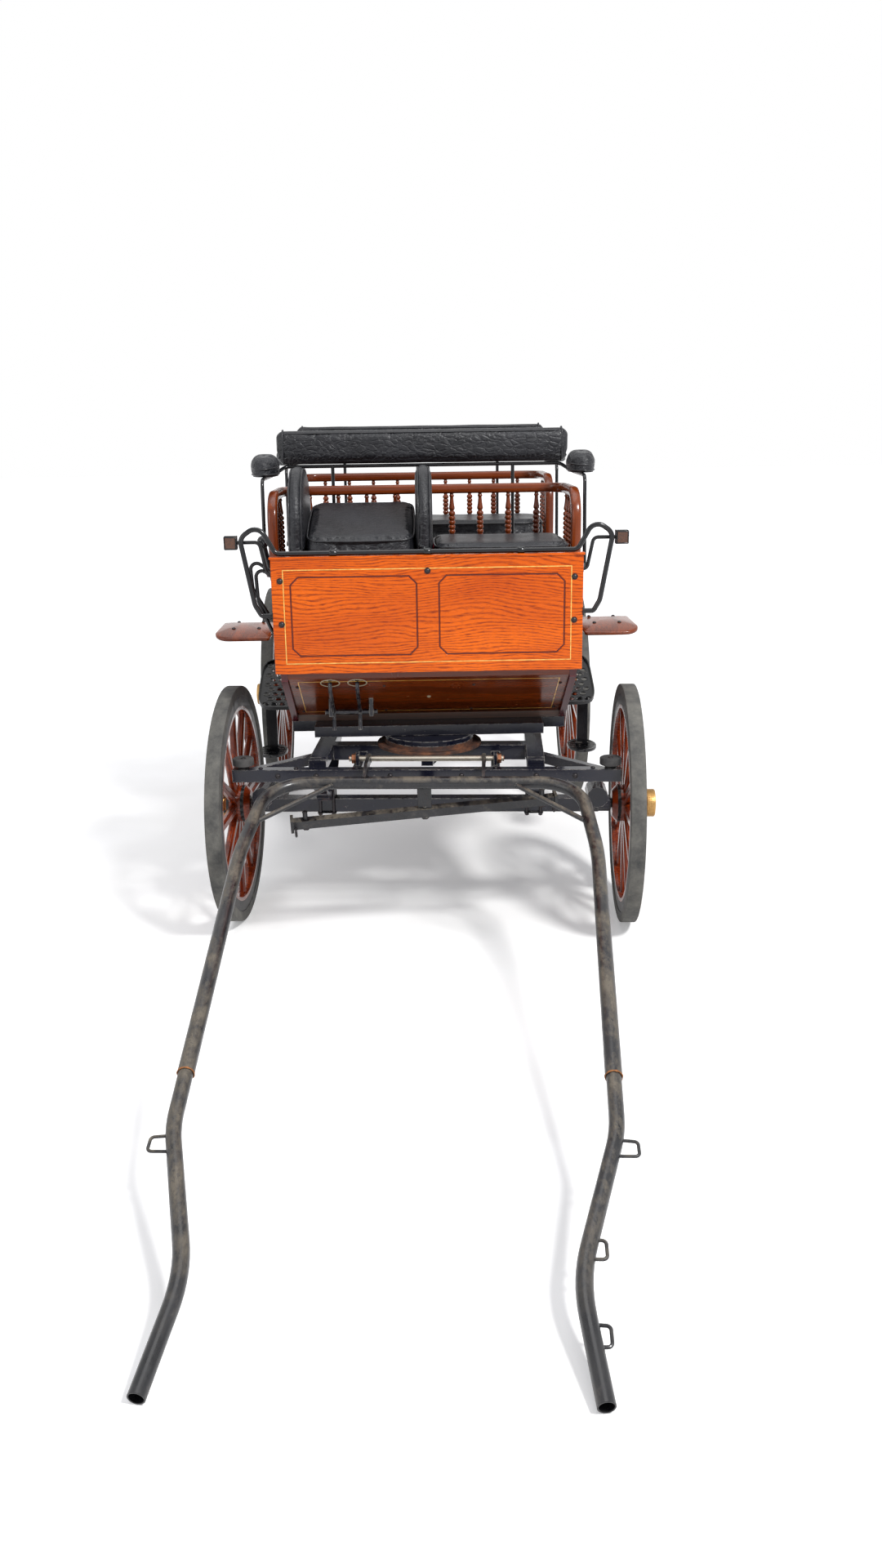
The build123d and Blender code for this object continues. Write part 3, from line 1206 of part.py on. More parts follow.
with BuildPart() as side_steps:
    step_slope = atan2(STEP_HIGH_Z - STEP_LOW_Z, STEP_RUN)
    step_length = STEP_RUN / cos(step_slope)
    step_x = BODY_HALF_WIDTH + 4 + STEP_WIDTH / 2
    step_plane = Plane(
        origin=(step_x, y_at(STEP_FRONT + STEP_RUN / 2), (STEP_LOW_Z + STEP_HIGH_Z) / 2),
        x_dir=(1, 0, 0),
        z_dir=(0, -sin(step_slope), cos(step_slope)),
    )
    with BuildSketch(step_plane) as plate:
        RectangleRounded(STEP_WIDTH, step_length, 40)
    extrude(plate.sketch, amount=STEP_PLATE)
    with BuildSketch(step_plane) as rim:
        RectangleRounded(STEP_WIDTH, step_length, 40)
        offset(amount=-STEP_PLATE, mode=Mode.SUBTRACT)
    extrude(rim.sketch, amount=STEP_RIM)
    cheek_rows = (
        (STEP_FRONT + 45, STEP_LOW_Z + 20, 0),
        (STEP_FRONT + STEP_RUN - 40, STEP_HIGH_Z - 18, 0),
        (STEP_FRONT + STEP_RUN - 40, STEP_HIGH_Z + 40, 20),
        (STEP_FRONT + 120, STEP_HIGH_Z + 40, 30),
        (STEP_FRONT + 45, STEP_LOW_Z + 80, 0),
    )
    side_profile(cheek_rows, BODY_HALF_WIDTH, 8)
    hanger_top = STEP_LOW_Z + (LOWER_STEP_Y - STEP_FRONT) * tan(step_slope)
    block((LOWER_STEP_X - 22, LOWER_STEP_X + 22), (y_at(LOWER_STEP_Y - 5), y_at(LOWER_STEP_Y + 5)),
          (LOWER_STEP_Z, hanger_top + 1))
    with BuildSketch(Plane.XY.offset(LOWER_STEP_Z)) as oval:
        with Locations((LOWER_STEP_X, y_at(LOWER_STEP_Y))):
            Polygon(*[
                (LOWER_STEP_WIDTH / 2 * cos(radians(turn)), LOWER_STEP_LENGTH / 2 * sin(radians(turn)))
                for turn in range(0, 360, 360 // CAP_FLATS)
            ])
    extrude(oval.sketch, amount=-LOWER_STEP_THICKNESS)
    with BuildSketch(Plane.XY.offset(LOWER_STEP_Z)) as slots:
        for index in (-2, -1, 0, 1, 2):
            with Locations((LOWER_STEP_X, y_at(LOWER_STEP_Y) + index * 30 + 15 * (index >= 0) - 7)):
                Rectangle(LOWER_STEP_WIDTH - 52, 14)
    extrude(slots.sketch, amount=-LOWER_STEP_THICKNESS, mode=Mode.SUBTRACT)
    mirror(about=Plane.YZ)
save(side_steps, "side_steps")
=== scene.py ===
"""The looks of the horse carriage: finishes, upholstery, turned wood, pin lines and small fittings.

Metres, +Z up. The carriage faces -Y and its left side is at +X.
"""

import json
import math

import bmesh
import bpy
from mathutils import Matrix, Vector, noise


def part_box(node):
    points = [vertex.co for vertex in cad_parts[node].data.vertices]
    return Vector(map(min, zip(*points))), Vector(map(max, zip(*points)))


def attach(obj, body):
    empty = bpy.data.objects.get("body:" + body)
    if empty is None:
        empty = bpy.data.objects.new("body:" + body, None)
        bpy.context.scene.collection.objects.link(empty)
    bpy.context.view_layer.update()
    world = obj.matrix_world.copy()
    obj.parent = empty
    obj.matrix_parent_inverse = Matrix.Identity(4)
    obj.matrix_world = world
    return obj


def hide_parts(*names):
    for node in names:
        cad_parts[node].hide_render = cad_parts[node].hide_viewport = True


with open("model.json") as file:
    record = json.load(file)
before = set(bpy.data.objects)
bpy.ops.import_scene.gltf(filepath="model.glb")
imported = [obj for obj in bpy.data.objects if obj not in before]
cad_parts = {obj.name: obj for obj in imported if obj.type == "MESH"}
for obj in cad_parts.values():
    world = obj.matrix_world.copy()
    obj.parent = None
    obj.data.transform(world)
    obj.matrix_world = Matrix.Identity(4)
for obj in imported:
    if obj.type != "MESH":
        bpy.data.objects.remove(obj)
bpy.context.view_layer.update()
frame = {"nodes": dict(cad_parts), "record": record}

NODES = frame["nodes"]
CORNERS = ("front_left", "front_right", "rear_left", "rear_right")

# Camera, read from the photograph's perspective
PHOTO_HEIGHT = 1920
FOCAL_PIXELS = 1555.7
CAMERA_PLACE = (-0.042, -4.201, 1.755)
CAMERA_YAW = -1.061
CAMERA_PITCH = 16.056
CAMERA_ROLL = -0.817

# The fore-carriage stands turned about its kingpin
KINGPIN = Vector((0, 0.175, 0))
REAR_AXLE_Y = KINGPIN.y + 1.6
JOINTS = {joint["name"]: joint for joint in frame["record"]["behaviour"]["joints"]}
STEER = math.atan2(JOINTS["roll_front_left"]["axis"][1], JOINTS["roll_front_left"]["axis"][0])
STEERED = Matrix.Translation(KINGPIN) @ Matrix.Rotation(STEER, 4, "Z") @ Matrix.Translation(-KINGPIN)


# Node trees

def srgb(red, green, blue):
    """A linear colour from screen values of 0 to 255."""
    def linear(value):
        value /= 255
        return value / 12.92 if value <= 0.04045 else ((value + 0.055) / 1.055) ** 2.4
    return (linear(red), linear(green), linear(blue), 1)


class Finish:
    """One material's node tree, built a node at a time."""

    def __init__(self, name, **values):
        self.material = bpy.data.materials.new(name)
        self.material.use_nodes = True
        self.nodes = self.material.node_tree.nodes
        self.links = self.material.node_tree.links
        self.shader = self.nodes["Principled BSDF"]
        for words, value in values.items():
            self.shader.inputs[words.replace("_", " ")].default_value = value

    def feed(self, socket, value):
        if isinstance(value, bpy.types.NodeSocket):
            self.links.new(value, socket)
        else:
            socket.default_value = value

    def add(self, kind, inputs=None, **settings):
        node = self.nodes.new("ShaderNode" + kind)
        for key, value in settings.items():
            setattr(node, key, value)
        for key, value in (inputs or {}).items():
            self.feed(node.inputs[key], value)
        return node

    def place(self, scale=(1, 1, 1), shift=(0, 0, 0), turn=(0, 0, 0)):
        """Object coordinates, moved, turned and scaled."""
        source = self.add("TexCoord").outputs["Object"]
        node = self.add("Mapping", {"Vector": source, "Location": shift, "Rotation": turn, "Scale": scale})
        return node.outputs[0]

    def noise(self, scale, vector=None, detail=4, roughness=0.55, distortion=0):
        inputs = {"Scale": scale, "Detail": detail, "Roughness": roughness, "Distortion": distortion}
        inputs["Vector"] = vector or self.place()
        return self.add("TexNoise", inputs).outputs["Fac"]

    def cells(self, scale, vector=None):
        """How far a point is from the edges of a pattern of cells."""
        node = self.add("TexVoronoi", {"Scale": scale, "Vector": vector or self.place()},
                        feature="DISTANCE_TO_EDGE")
        return node.outputs["Distance"]

    def ramp(self, value, *stops):
        """A colour ramp; each stop is a position and a colour or a grey level."""
        node = self.add("ValToRGB", {"Fac": value})
        elements = node.color_ramp.elements
        while len(elements) < len(stops):
            elements.new(0.5)
        for element, (position, colour) in zip(elements, stops):
            element.position = position
            element.color = colour if isinstance(colour, tuple) else (colour, colour, colour, 1)
        return node.outputs["Color"]

    def mix(self, factor, first, second, blend="MIX"):
        node = self.add("Mix", data_type="RGBA", blend_type=blend)
        self.feed(node.inputs[0], factor)
        self.feed(node.inputs[6], first)
        self.feed(node.inputs[7], second)
        return node.outputs[2]

    def math(self, operation, first, second=0.0):
        node = self.add("Math", operation=operation)
        self.feed(node.inputs[0], first)
        self.feed(node.inputs[1], second)
        return node.outputs[0]

    def edges(self, radius):
        """1 near sharp edges, from how far a rounded normal leaves the real one."""
        rounded = self.add("Bevel", {"Radius": radius}, samples=4).outputs["Normal"]
        plain = self.add("NewGeometry").outputs["Normal"]
        dot = self.add("VectorMath", {0: rounded, 1: plain}, operation="DOT_PRODUCT").outputs["Value"]
        return self.math("SUBTRACT", 1.0, dot)

    def colour(self, value):
        self.feed(self.shader.inputs["Base Color"], value)

    def roughness(self, value):
        self.feed(self.shader.inputs["Roughness"], value)

    def bump(self, height, strength, distance):
        last = self.shader.inputs["Normal"]
        below = last.links[0].from_socket if last.is_linked else None
        node = self.add("Bump", {"Height": height, "Strength": strength, "Distance": distance})
        if below:
            self.links.new(below, node.inputs["Normal"])
        self.links.new(node.outputs["Normal"], last)


# Finishes

def varnished_wood(name, light, mid, dark, along=0, arcs=1.0, gloss=0.16):
    """Open-grained wood under varnish, its grain running along one axis."""
    finish = Finish(name, Coat_Weight=0.18, Coat_Roughness=0.06, Specular_IOR_Level=0.3)
    squeeze = [1.0, 1.0, 1.0]
    squeeze[along] = 0.09
    grain = finish.place(scale=tuple(squeeze))
    drift = finish.noise(3.2, grain, detail=3, distortion=0.6)
    rings = finish.math("SINE", finish.math("ADD", finish.math("MULTIPLY", drift, 85 * arcs),
                                            finish.math("MULTIPLY", finish.noise(60, grain, detail=5), 7)))
    lines = finish.ramp(finish.math("MULTIPLY", finish.math("ADD", rings, 1.0), 0.5), (0.3, 0.0), (0.85, 1.0))
    streak = [90.0, 90.0, 90.0]
    streak[along] = 2.5
    pores = finish.noise(2.2, finish.place(scale=tuple(streak)), detail=6, roughness=0.7)
    fine = finish.ramp(pores, (0.38, 0.0), (0.62, 1.0))
    tone = finish.mix(finish.math("MULTIPLY", lines, 0.55), light, mid)
    tone = finish.mix(finish.ramp(pores, (0.3, 0.55), (0.52, 0.0)), tone, dark)
    cloud = finish.noise(2.1, finish.place(), detail=3)
    tone = finish.mix(finish.ramp(cloud, (0.35, 0.0), (0.75, 0.28)), tone, mid)
    finish.colour(tone)
    finish.roughness(finish.ramp(finish.noise(14, detail=3), (0.3, gloss), (0.7, gloss + 0.12)))
    finish.bump(fine, 0.12, 0.0004)
    finish.bump(lines, 0.1, 0.0005)
    return finish.material


def orange_oak():
    """Oak under orange-brown varnish, its dark pores in fine wavy lines across the board."""
    finish = Finish("orange_oak_varnish", Coat_Weight=0.12, Coat_Roughness=0.08, Specular_IOR_Level=0.18)
    height = finish.add("SeparateXYZ", {0: finish.place()}).outputs[2]
    swell = finish.noise(1.0, finish.place(scale=(1.6, 1, 5.5)), detail=2)
    ripple = finish.noise(1.0, finish.place(scale=(12, 1, 60)), detail=4)
    level = finish.math("ADD", finish.math("MULTIPLY", height, 640.0), finish.math("MULTIPLY", swell, 95.0))
    level = finish.math("ADD", level, finish.math("MULTIPLY", ripple, 8.0))
    lines = finish.math("MULTIPLY", finish.math("ADD", finish.math("SINE", level), 1.0), 0.5)
    breaks = finish.noise(1.0, finish.place(scale=(26, 1, 190)), detail=5, roughness=0.65)
    dark = finish.math("MULTIPLY", finish.ramp(lines, (0.45, 0.0), (0.9, 1.0)),
                       finish.ramp(breaks, (0.38, 0.15), (0.62, 1.0)))
    cloud = finish.noise(1.0, finish.place(scale=(2.2, 1, 7)), detail=4)
    tone = finish.ramp(cloud, (0.3, srgb(219, 97, 3)), (0.7, srgb(191, 76, 2)))
    pores = finish.noise(1.0, finish.place(scale=(60, 1, 420)), detail=3)
    pores = finish.ramp(pores, (0.56, 0.0), (0.7, 0.5))
    tone = finish.mix(pores, tone, srgb(126, 40, 2))
    finish.colour(finish.mix(finish.math("MULTIPLY", dark, 0.85), tone, srgb(106, 30, 2)))
    finish.roughness(finish.ramp(dark, (0.0, 0.2), (1.0, 0.38)))
    finish.bump(dark, -0.25, 0.0006)
    return finish.material


def mahogany(name, along):
    return varnished_wood(name, srgb(118, 50, 12), srgb(78, 27, 7), srgb(26, 8, 4), along, arcs=0.5)


def painted_wheel(name, centre, felloe_inner, steer):
    """Varnished spokes and nave inside a felloe painted black, with an orange edge between."""
    finish = Finish(name, Coat_Weight=0.15, Coat_Roughness=0.08, Specular_IOR_Level=0.32)
    shift = -(Matrix.Rotation(-steer, 3, "Z") @ centre)
    place = finish.place(shift=tuple(shift), turn=(0, 0, -steer))
    split = finish.add("SeparateXYZ", {0: place})
    flat = finish.math("ADD", finish.math("POWER", split.outputs[1], 2.0),
                       finish.math("POWER", split.outputs[2], 2.0))
    radius = finish.math("SQRT", flat)
    wander = finish.math("MULTIPLY", finish.math("SUBTRACT", finish.noise(35, detail=2), 0.5), 0.0012)
    radius = finish.math("ADD", radius, wander)
    angle = finish.math("ARCTAN2", split.outputs[1], split.outputs[2])
    along = finish.add("CombineXYZ", {0: finish.math("MULTIPLY", angle, 22.0),
                                      1: finish.math("MULTIPLY", radius, 1.4),
                                      2: finish.math("MULTIPLY", split.outputs[0], 30.0)}).outputs[0]
    grain = finish.noise(3.0, along, detail=6, roughness=0.65)
    wood = finish.ramp(grain, (0.3, srgb(50, 13, 5)), (0.5, srgb(104, 33, 8)), (0.72, srgb(146, 60, 14)))
    grime = finish.ramp(finish.noise(7, detail=5), (0.55, 0.0), (0.8, 0.6))
    wood = finish.mix(finish.math("MULTIPLY", grime, 0.5), wood, srgb(80, 50, 36))
    black = finish.ramp(finish.noise(26, detail=6), (0.35, srgb(20, 20, 23)), (0.75, srgb(52, 50, 48)))
    edge_start = felloe_inner + 0.009
    edge_end = felloe_inner + 0.013
    on_line = finish.math("GREATER_THAN", radius, edge_start)
    on_paint = finish.math("GREATER_THAN", radius, edge_end)
    tone = finish.mix(on_line, wood, srgb(142, 66, 24))
    tone = finish.mix(on_paint, tone, black)
    dust = finish.ramp(finish.noise(9, detail=6), (0.5, 0.0), (0.78, 0.5))
    dust = finish.math("MULTIPLY", dust, finish.math("GREATER_THAN", radius, felloe_inner))
    tone = finish.mix(dust, tone, srgb(112, 104, 94))
    finish.colour(tone)
    finish.roughness(finish.mix(on_paint, (0.2, 0.2, 0.2, 1), (0.55, 0.55, 0.55, 1)))
    finish.bump(grain, 0.12, 0.0006)
    return finish.material


def black_leather(name, creased):
    """Grained black leather, creased by use as strongly as asked."""
    finish = Finish(name, Specular_IOR_Level=0.32, Coat_Weight=0.07, Coat_Roughness=0.25)
    pebble = finish.cells(620)
    creases = finish.add("TexNoise", {"Vector": finish.place(scale=(0.8, 1.4, 1.4)), "Scale": 26.0,
                                      "Detail": 5.0, "Roughness": 0.6, "Distortion": 0.8})
    fold = finish.math("ABSOLUTE", finish.math("SUBTRACT", creases.outputs["Fac"], 0.5))
    fold = finish.ramp(fold, (0.0, 0.0), (0.06, 1.0))
    wear = finish.noise(5, detail=5)
    tone = finish.ramp(wear, (0.3, srgb(15, 16, 20)), (0.75, srgb(30, 31, 36)))
    finish.colour(finish.mix(finish.ramp(fold, (0.0, 0.3), (1.0, 0.0)), tone, srgb(52, 52, 55)))
    finish.roughness(finish.ramp(wear, (0.3, 0.3), (0.7, 0.46)))
    finish.bump(finish.ramp(pebble, (0.0, 0.0), (0.2, 1.0)), 0.25, 0.0003)
    finish.bump(fold, 0.35, 0.0012)
    sway = finish.add("TexNoise", {"Vector": finish.place(), "Scale": 14.0, "Detail": 3.0}).outputs["Color"]
    long_cells = finish.place(scale=(0.62, 1, 1.2))
    bent = finish.add("VectorMath", {0: long_cells, 1: finish.mix(0.035, (0, 0, 0, 1), sway)},
                      operation="ADD")
    crinkle = finish.cells(44, bent.outputs["Vector"])
    finish.bump(finish.ramp(crinkle, (0.0, 0.0), (0.16, 0.8), (0.5, 1.0)), creased, 0.003)
    return finish.material


def leather_piping():
    """The smoother leather of the cords along the seams, worn grey in places."""
    finish = Finish("leather_piping", Specular_IOR_Level=0.35, Coat_Weight=0.08, Coat_Roughness=0.2)
    wear = finish.noise(30, detail=5)
    finish.colour(finish.ramp(wear, (0.35, srgb(18, 19, 22)), (0.75, srgb(46, 46, 50))))
    finish.roughness(finish.ramp(wear, (0.3, 0.28), (0.7, 0.45)))
    finish.bump(finish.noise(260, detail=3), 0.2, 0.0003)
    return finish.material


def plain_gloss(name, colour, roughness, coat=0.1):
    finish = Finish(name, Coat_Weight=coat, Coat_Roughness=0.05, Specular_IOR_Level=0.3)
    finish.colour(finish.mix(finish.ramp(finish.noise(40, detail=5), (0.5, 0.0), (0.8, 0.3)), colour,
                             srgb(70, 66, 62)))
    finish.roughness(finish.ramp(finish.noise(22), (0.3, roughness), (0.7, roughness + 0.12)))
    return finish.material


def chipped_paint(name, base, chip, worn=0.5, gloss=0.2, dusty=0.1):
    """Gloss paint, chipped at its edges and dusty."""
    finish = Finish(name, Coat_Weight=0.1, Coat_Roughness=0.08, Specular_IOR_Level=0.36)
    patches = finish.noise(38, detail=8, roughness=0.7)
    near_edge = finish.ramp(finish.edges(0.006), (0.02, 0.0), (0.3, 1.0))
    bare = finish.math("MULTIPLY", near_edge, finish.ramp(patches, (0.56 - 0.1 * worn, 0.0), (0.6, 1.0)))
    spots = finish.ramp(finish.noise(75, detail=6, roughness=0.75), (0.72 - 0.05 * worn, 0.0), (0.76, 1.0))
    bare = finish.math("MAXIMUM", bare, finish.math("MULTIPLY", spots, 0.8))
    dust = finish.ramp(finish.noise(6, detail=7, roughness=0.7), (0.4, 0.0), (0.85, dusty))
    tone = finish.mix(dust, base, srgb(106, 98, 88))
    finish.colour(finish.mix(bare, tone, chip))
    finish.roughness(finish.ramp(finish.math("MAXIMUM", bare, dust), (0.0, gloss), (0.6, 0.65)))
    finish.bump(bare, -0.3, 0.0003)
    finish.bump(finish.noise(160, detail=3), 0.05, 0.0004)
    return finish.material


def worn_steel():
    """Black paint worn off steel tube, scuffed, rusty in spots and dusty on top."""
    finish = Finish("worn_black_steel", Coat_Weight=0.15, Coat_Roughness=0.15, Specular_IOR_Level=0.4)
    scuff = finish.noise(16, finish.place(scale=(1.3, 0.5, 1.3)), detail=9, roughness=0.74)
    tone = finish.ramp(scuff, (0.34, srgb(14, 15, 19)), (0.55, srgb(30, 30, 33)), (0.72, srgb(70, 66, 62)),
                       (0.84, srgb(120, 108, 96)))
    rust = finish.ramp(finish.noise(44, detail=7, roughness=0.75), (0.64, 0.0), (0.73, 0.7))
    tone = finish.mix(rust, tone, srgb(92, 56, 38))
    upward = finish.add("SeparateXYZ", {0: finish.add("NewGeometry").outputs["Normal"]}).outputs[2]
    film = finish.noise(15, finish.place(scale=(1, 0.4, 1)), detail=9, roughness=0.78)
    film = finish.ramp(film, (0.44, 0.0), (0.6, 0.8))
    film = finish.math("MULTIPLY", film, finish.ramp(upward, (0.15, 0.0), (0.75, 1.0)))
    along = finish.add("SeparateXYZ", {0: finish.place()}).outputs[1]
    from_tips = finish.ramp(finish.math("ADD", along, 2.3), (0.16, 0.04), (0.42, 1.0))
    film = finish.math("MULTIPLY", film, from_tips)
    spots = finish.noise(60, finish.place(scale=(1, 0.6, 1)), detail=6, roughness=0.8)
    spots = finish.ramp(spots, (0.56, 1.0), (0.64, 0.15))
    film = finish.math("MULTIPLY", film, spots)
    finish.colour(finish.mix(film, tone, srgb(104, 96, 84)))
    matt = finish.math("MAXIMUM", film, finish.math("SUBTRACT", scuff, 0.35))
    finish.roughness(finish.ramp(matt, (0.0, 0.22), (0.5, 0.7)))
    finish.bump(scuff, 0.25, 0.0008)
    finish.bump(rust, 0.2, 0.0004)
    return finish.material


def rusty_steel():
    finish = Finish("rusty_steel", Metallic=0.2)
    blotch = finish.noise(24, detail=9, roughness=0.72)
    finish.colour(finish.ramp(blotch, (0.3, srgb(34, 30, 32)), (0.48, srgb(74, 50, 40)),
                              (0.62, srgb(116, 74, 50)), (0.8, srgb(150, 120, 100))))
    finish.roughness(finish.ramp(blotch, (0.3, 0.45), (0.6, 0.8)))
    finish.bump(blotch, 0.4, 0.0008)
    return finish.material


def plain_metal(name, colour, roughness, streaks=(1, 1, 1), tarnish=(60, 50, 42)):
    finish = Finish(name, Metallic=1.0)
    marks = finish.noise(40, finish.place(scale=streaks), detail=6, roughness=0.7)
    finish.colour(finish.mix(finish.ramp(marks, (0.5, 0.0), (0.8, 0.7)), colour, srgb(*tarnish)))
    finish.roughness(finish.ramp(marks, (0.3, roughness), (0.8, roughness + 0.25)))
    finish.bump(marks, 0.12, 0.0003)
    return finish.material


def dusty_rubber(name, dark, pale):
    finish = Finish(name, Specular_IOR_Level=0.3)
    dust = finish.noise(11, detail=9, roughness=0.72)
    finish.colour(finish.ramp(dust, (0.34, dark), (0.7, pale)))
    finish.roughness(finish.ramp(dust, (0.3, 0.62), (0.7, 0.88)))
    finish.bump(finish.noise(220, detail=5, roughness=0.7), 0.35, 0.0008)
    return finish.material


def gold_paint():
    finish = Finish("gold_pin_line", Coat_Weight=0.5, Coat_Roughness=0.1)
    tone = finish.noise(70, detail=3)
    finish.colour(finish.ramp(tone, (0.3, srgb(196, 138, 48)), (0.7, srgb(236, 190, 92))))
    finish.roughness(finish.ramp(finish.noise(30), (0.3, 0.25), (0.7, 0.4)))
    return finish.material


def floor_boards():
    """Dark boards across the carriage, with a gap every 90 mm."""
    finish = Finish("floor_boards", Coat_Weight=0.2)
    place = finish.add("SeparateXYZ", {0: finish.place()}).outputs[1]
    along = finish.math("FRACT", finish.math("DIVIDE", place, 0.09))
    gap = finish.math("LESS_THAN", along, 0.035)
    grain = finish.noise(3, finish.place(scale=(3, 70, 70)), detail=6, roughness=0.7)
    wood = finish.ramp(grain, (0.3, srgb(46, 30, 22)), (0.7, srgb(92, 58, 40)))
    finish.colour(finish.mix(gap, wood, srgb(12, 9, 8)))
    finish.roughness(finish.ramp(grain, (0.3, 0.4), (0.7, 0.6)))
    finish.bump(finish.math("SUBTRACT", 1.0, gap), 0.6, 0.002)
    return finish.material


def amber_plastic():
    """A ribbed amber reflector."""
    finish = Finish("amber_lens", Roughness=0.16, IOR=1.5, Coat_Weight=0.3, Coat_Roughness=0.03)
    facets = finish.cells(420)
    finish.colour(finish.ramp(facets, (0.0, srgb(40, 20, 10)), (0.3, srgb(100, 54, 22))))
    finish.bump(facets, 0.7, 0.001)
    return finish.material


# Meshes

def circle(sides, phase=0.0):
    """The cosine and sine of equal turns round a circle."""
    turns = (2 * math.pi * (step + phase) / sides for step in range(sides))
    return [(math.cos(turn), math.sin(turn)) for turn in turns]


def add_object(name, data):
    """An object in the scene for a mesh, a camera or a lamp."""
    thing = bpy.data.objects.new(name, data)
    bpy.context.scene.collection.objects.link(thing)
    return thing


def mesh_object(name, verts, faces, material, body, smooth=40):
    """A mesh piece that rides on a body, with the finish it is given."""
    mesh = bpy.data.meshes.new(name)
    mesh.from_pydata([tuple(vert) for vert in verts], [], faces)
    mesh.validate()
    edit = bmesh.new()
    edit.from_mesh(mesh)
    bmesh.ops.recalc_face_normals(edit, faces=edit.faces)
    edit.to_mesh(mesh)
    edit.free()
    piece = add_object(name, mesh)
    mesh.materials.append(material)
    soften(piece, smooth)
    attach(piece, body)
    return piece


def soften(piece, angle):
    """Smooth shading, kept sharp where faces meet at more than an angle."""
    mesh = piece.data
    for face in mesh.polygons:
        face.use_smooth = True
    if hasattr(mesh, "set_sharp_from_angle"):
        mesh.set_sharp_from_angle(angle=math.radians(angle))


def ring_frame(direction, hint=(0, 0, 1)):
    """Two unit vectors across a direction."""
    direction = Vector(direction).normalized()
    side = direction.cross(Vector(hint))
    if side.length < 1e-4:
        side = direction.cross(Vector((1, 0, 0)))
    side.normalize()
    return side, side.cross(direction).normalized()


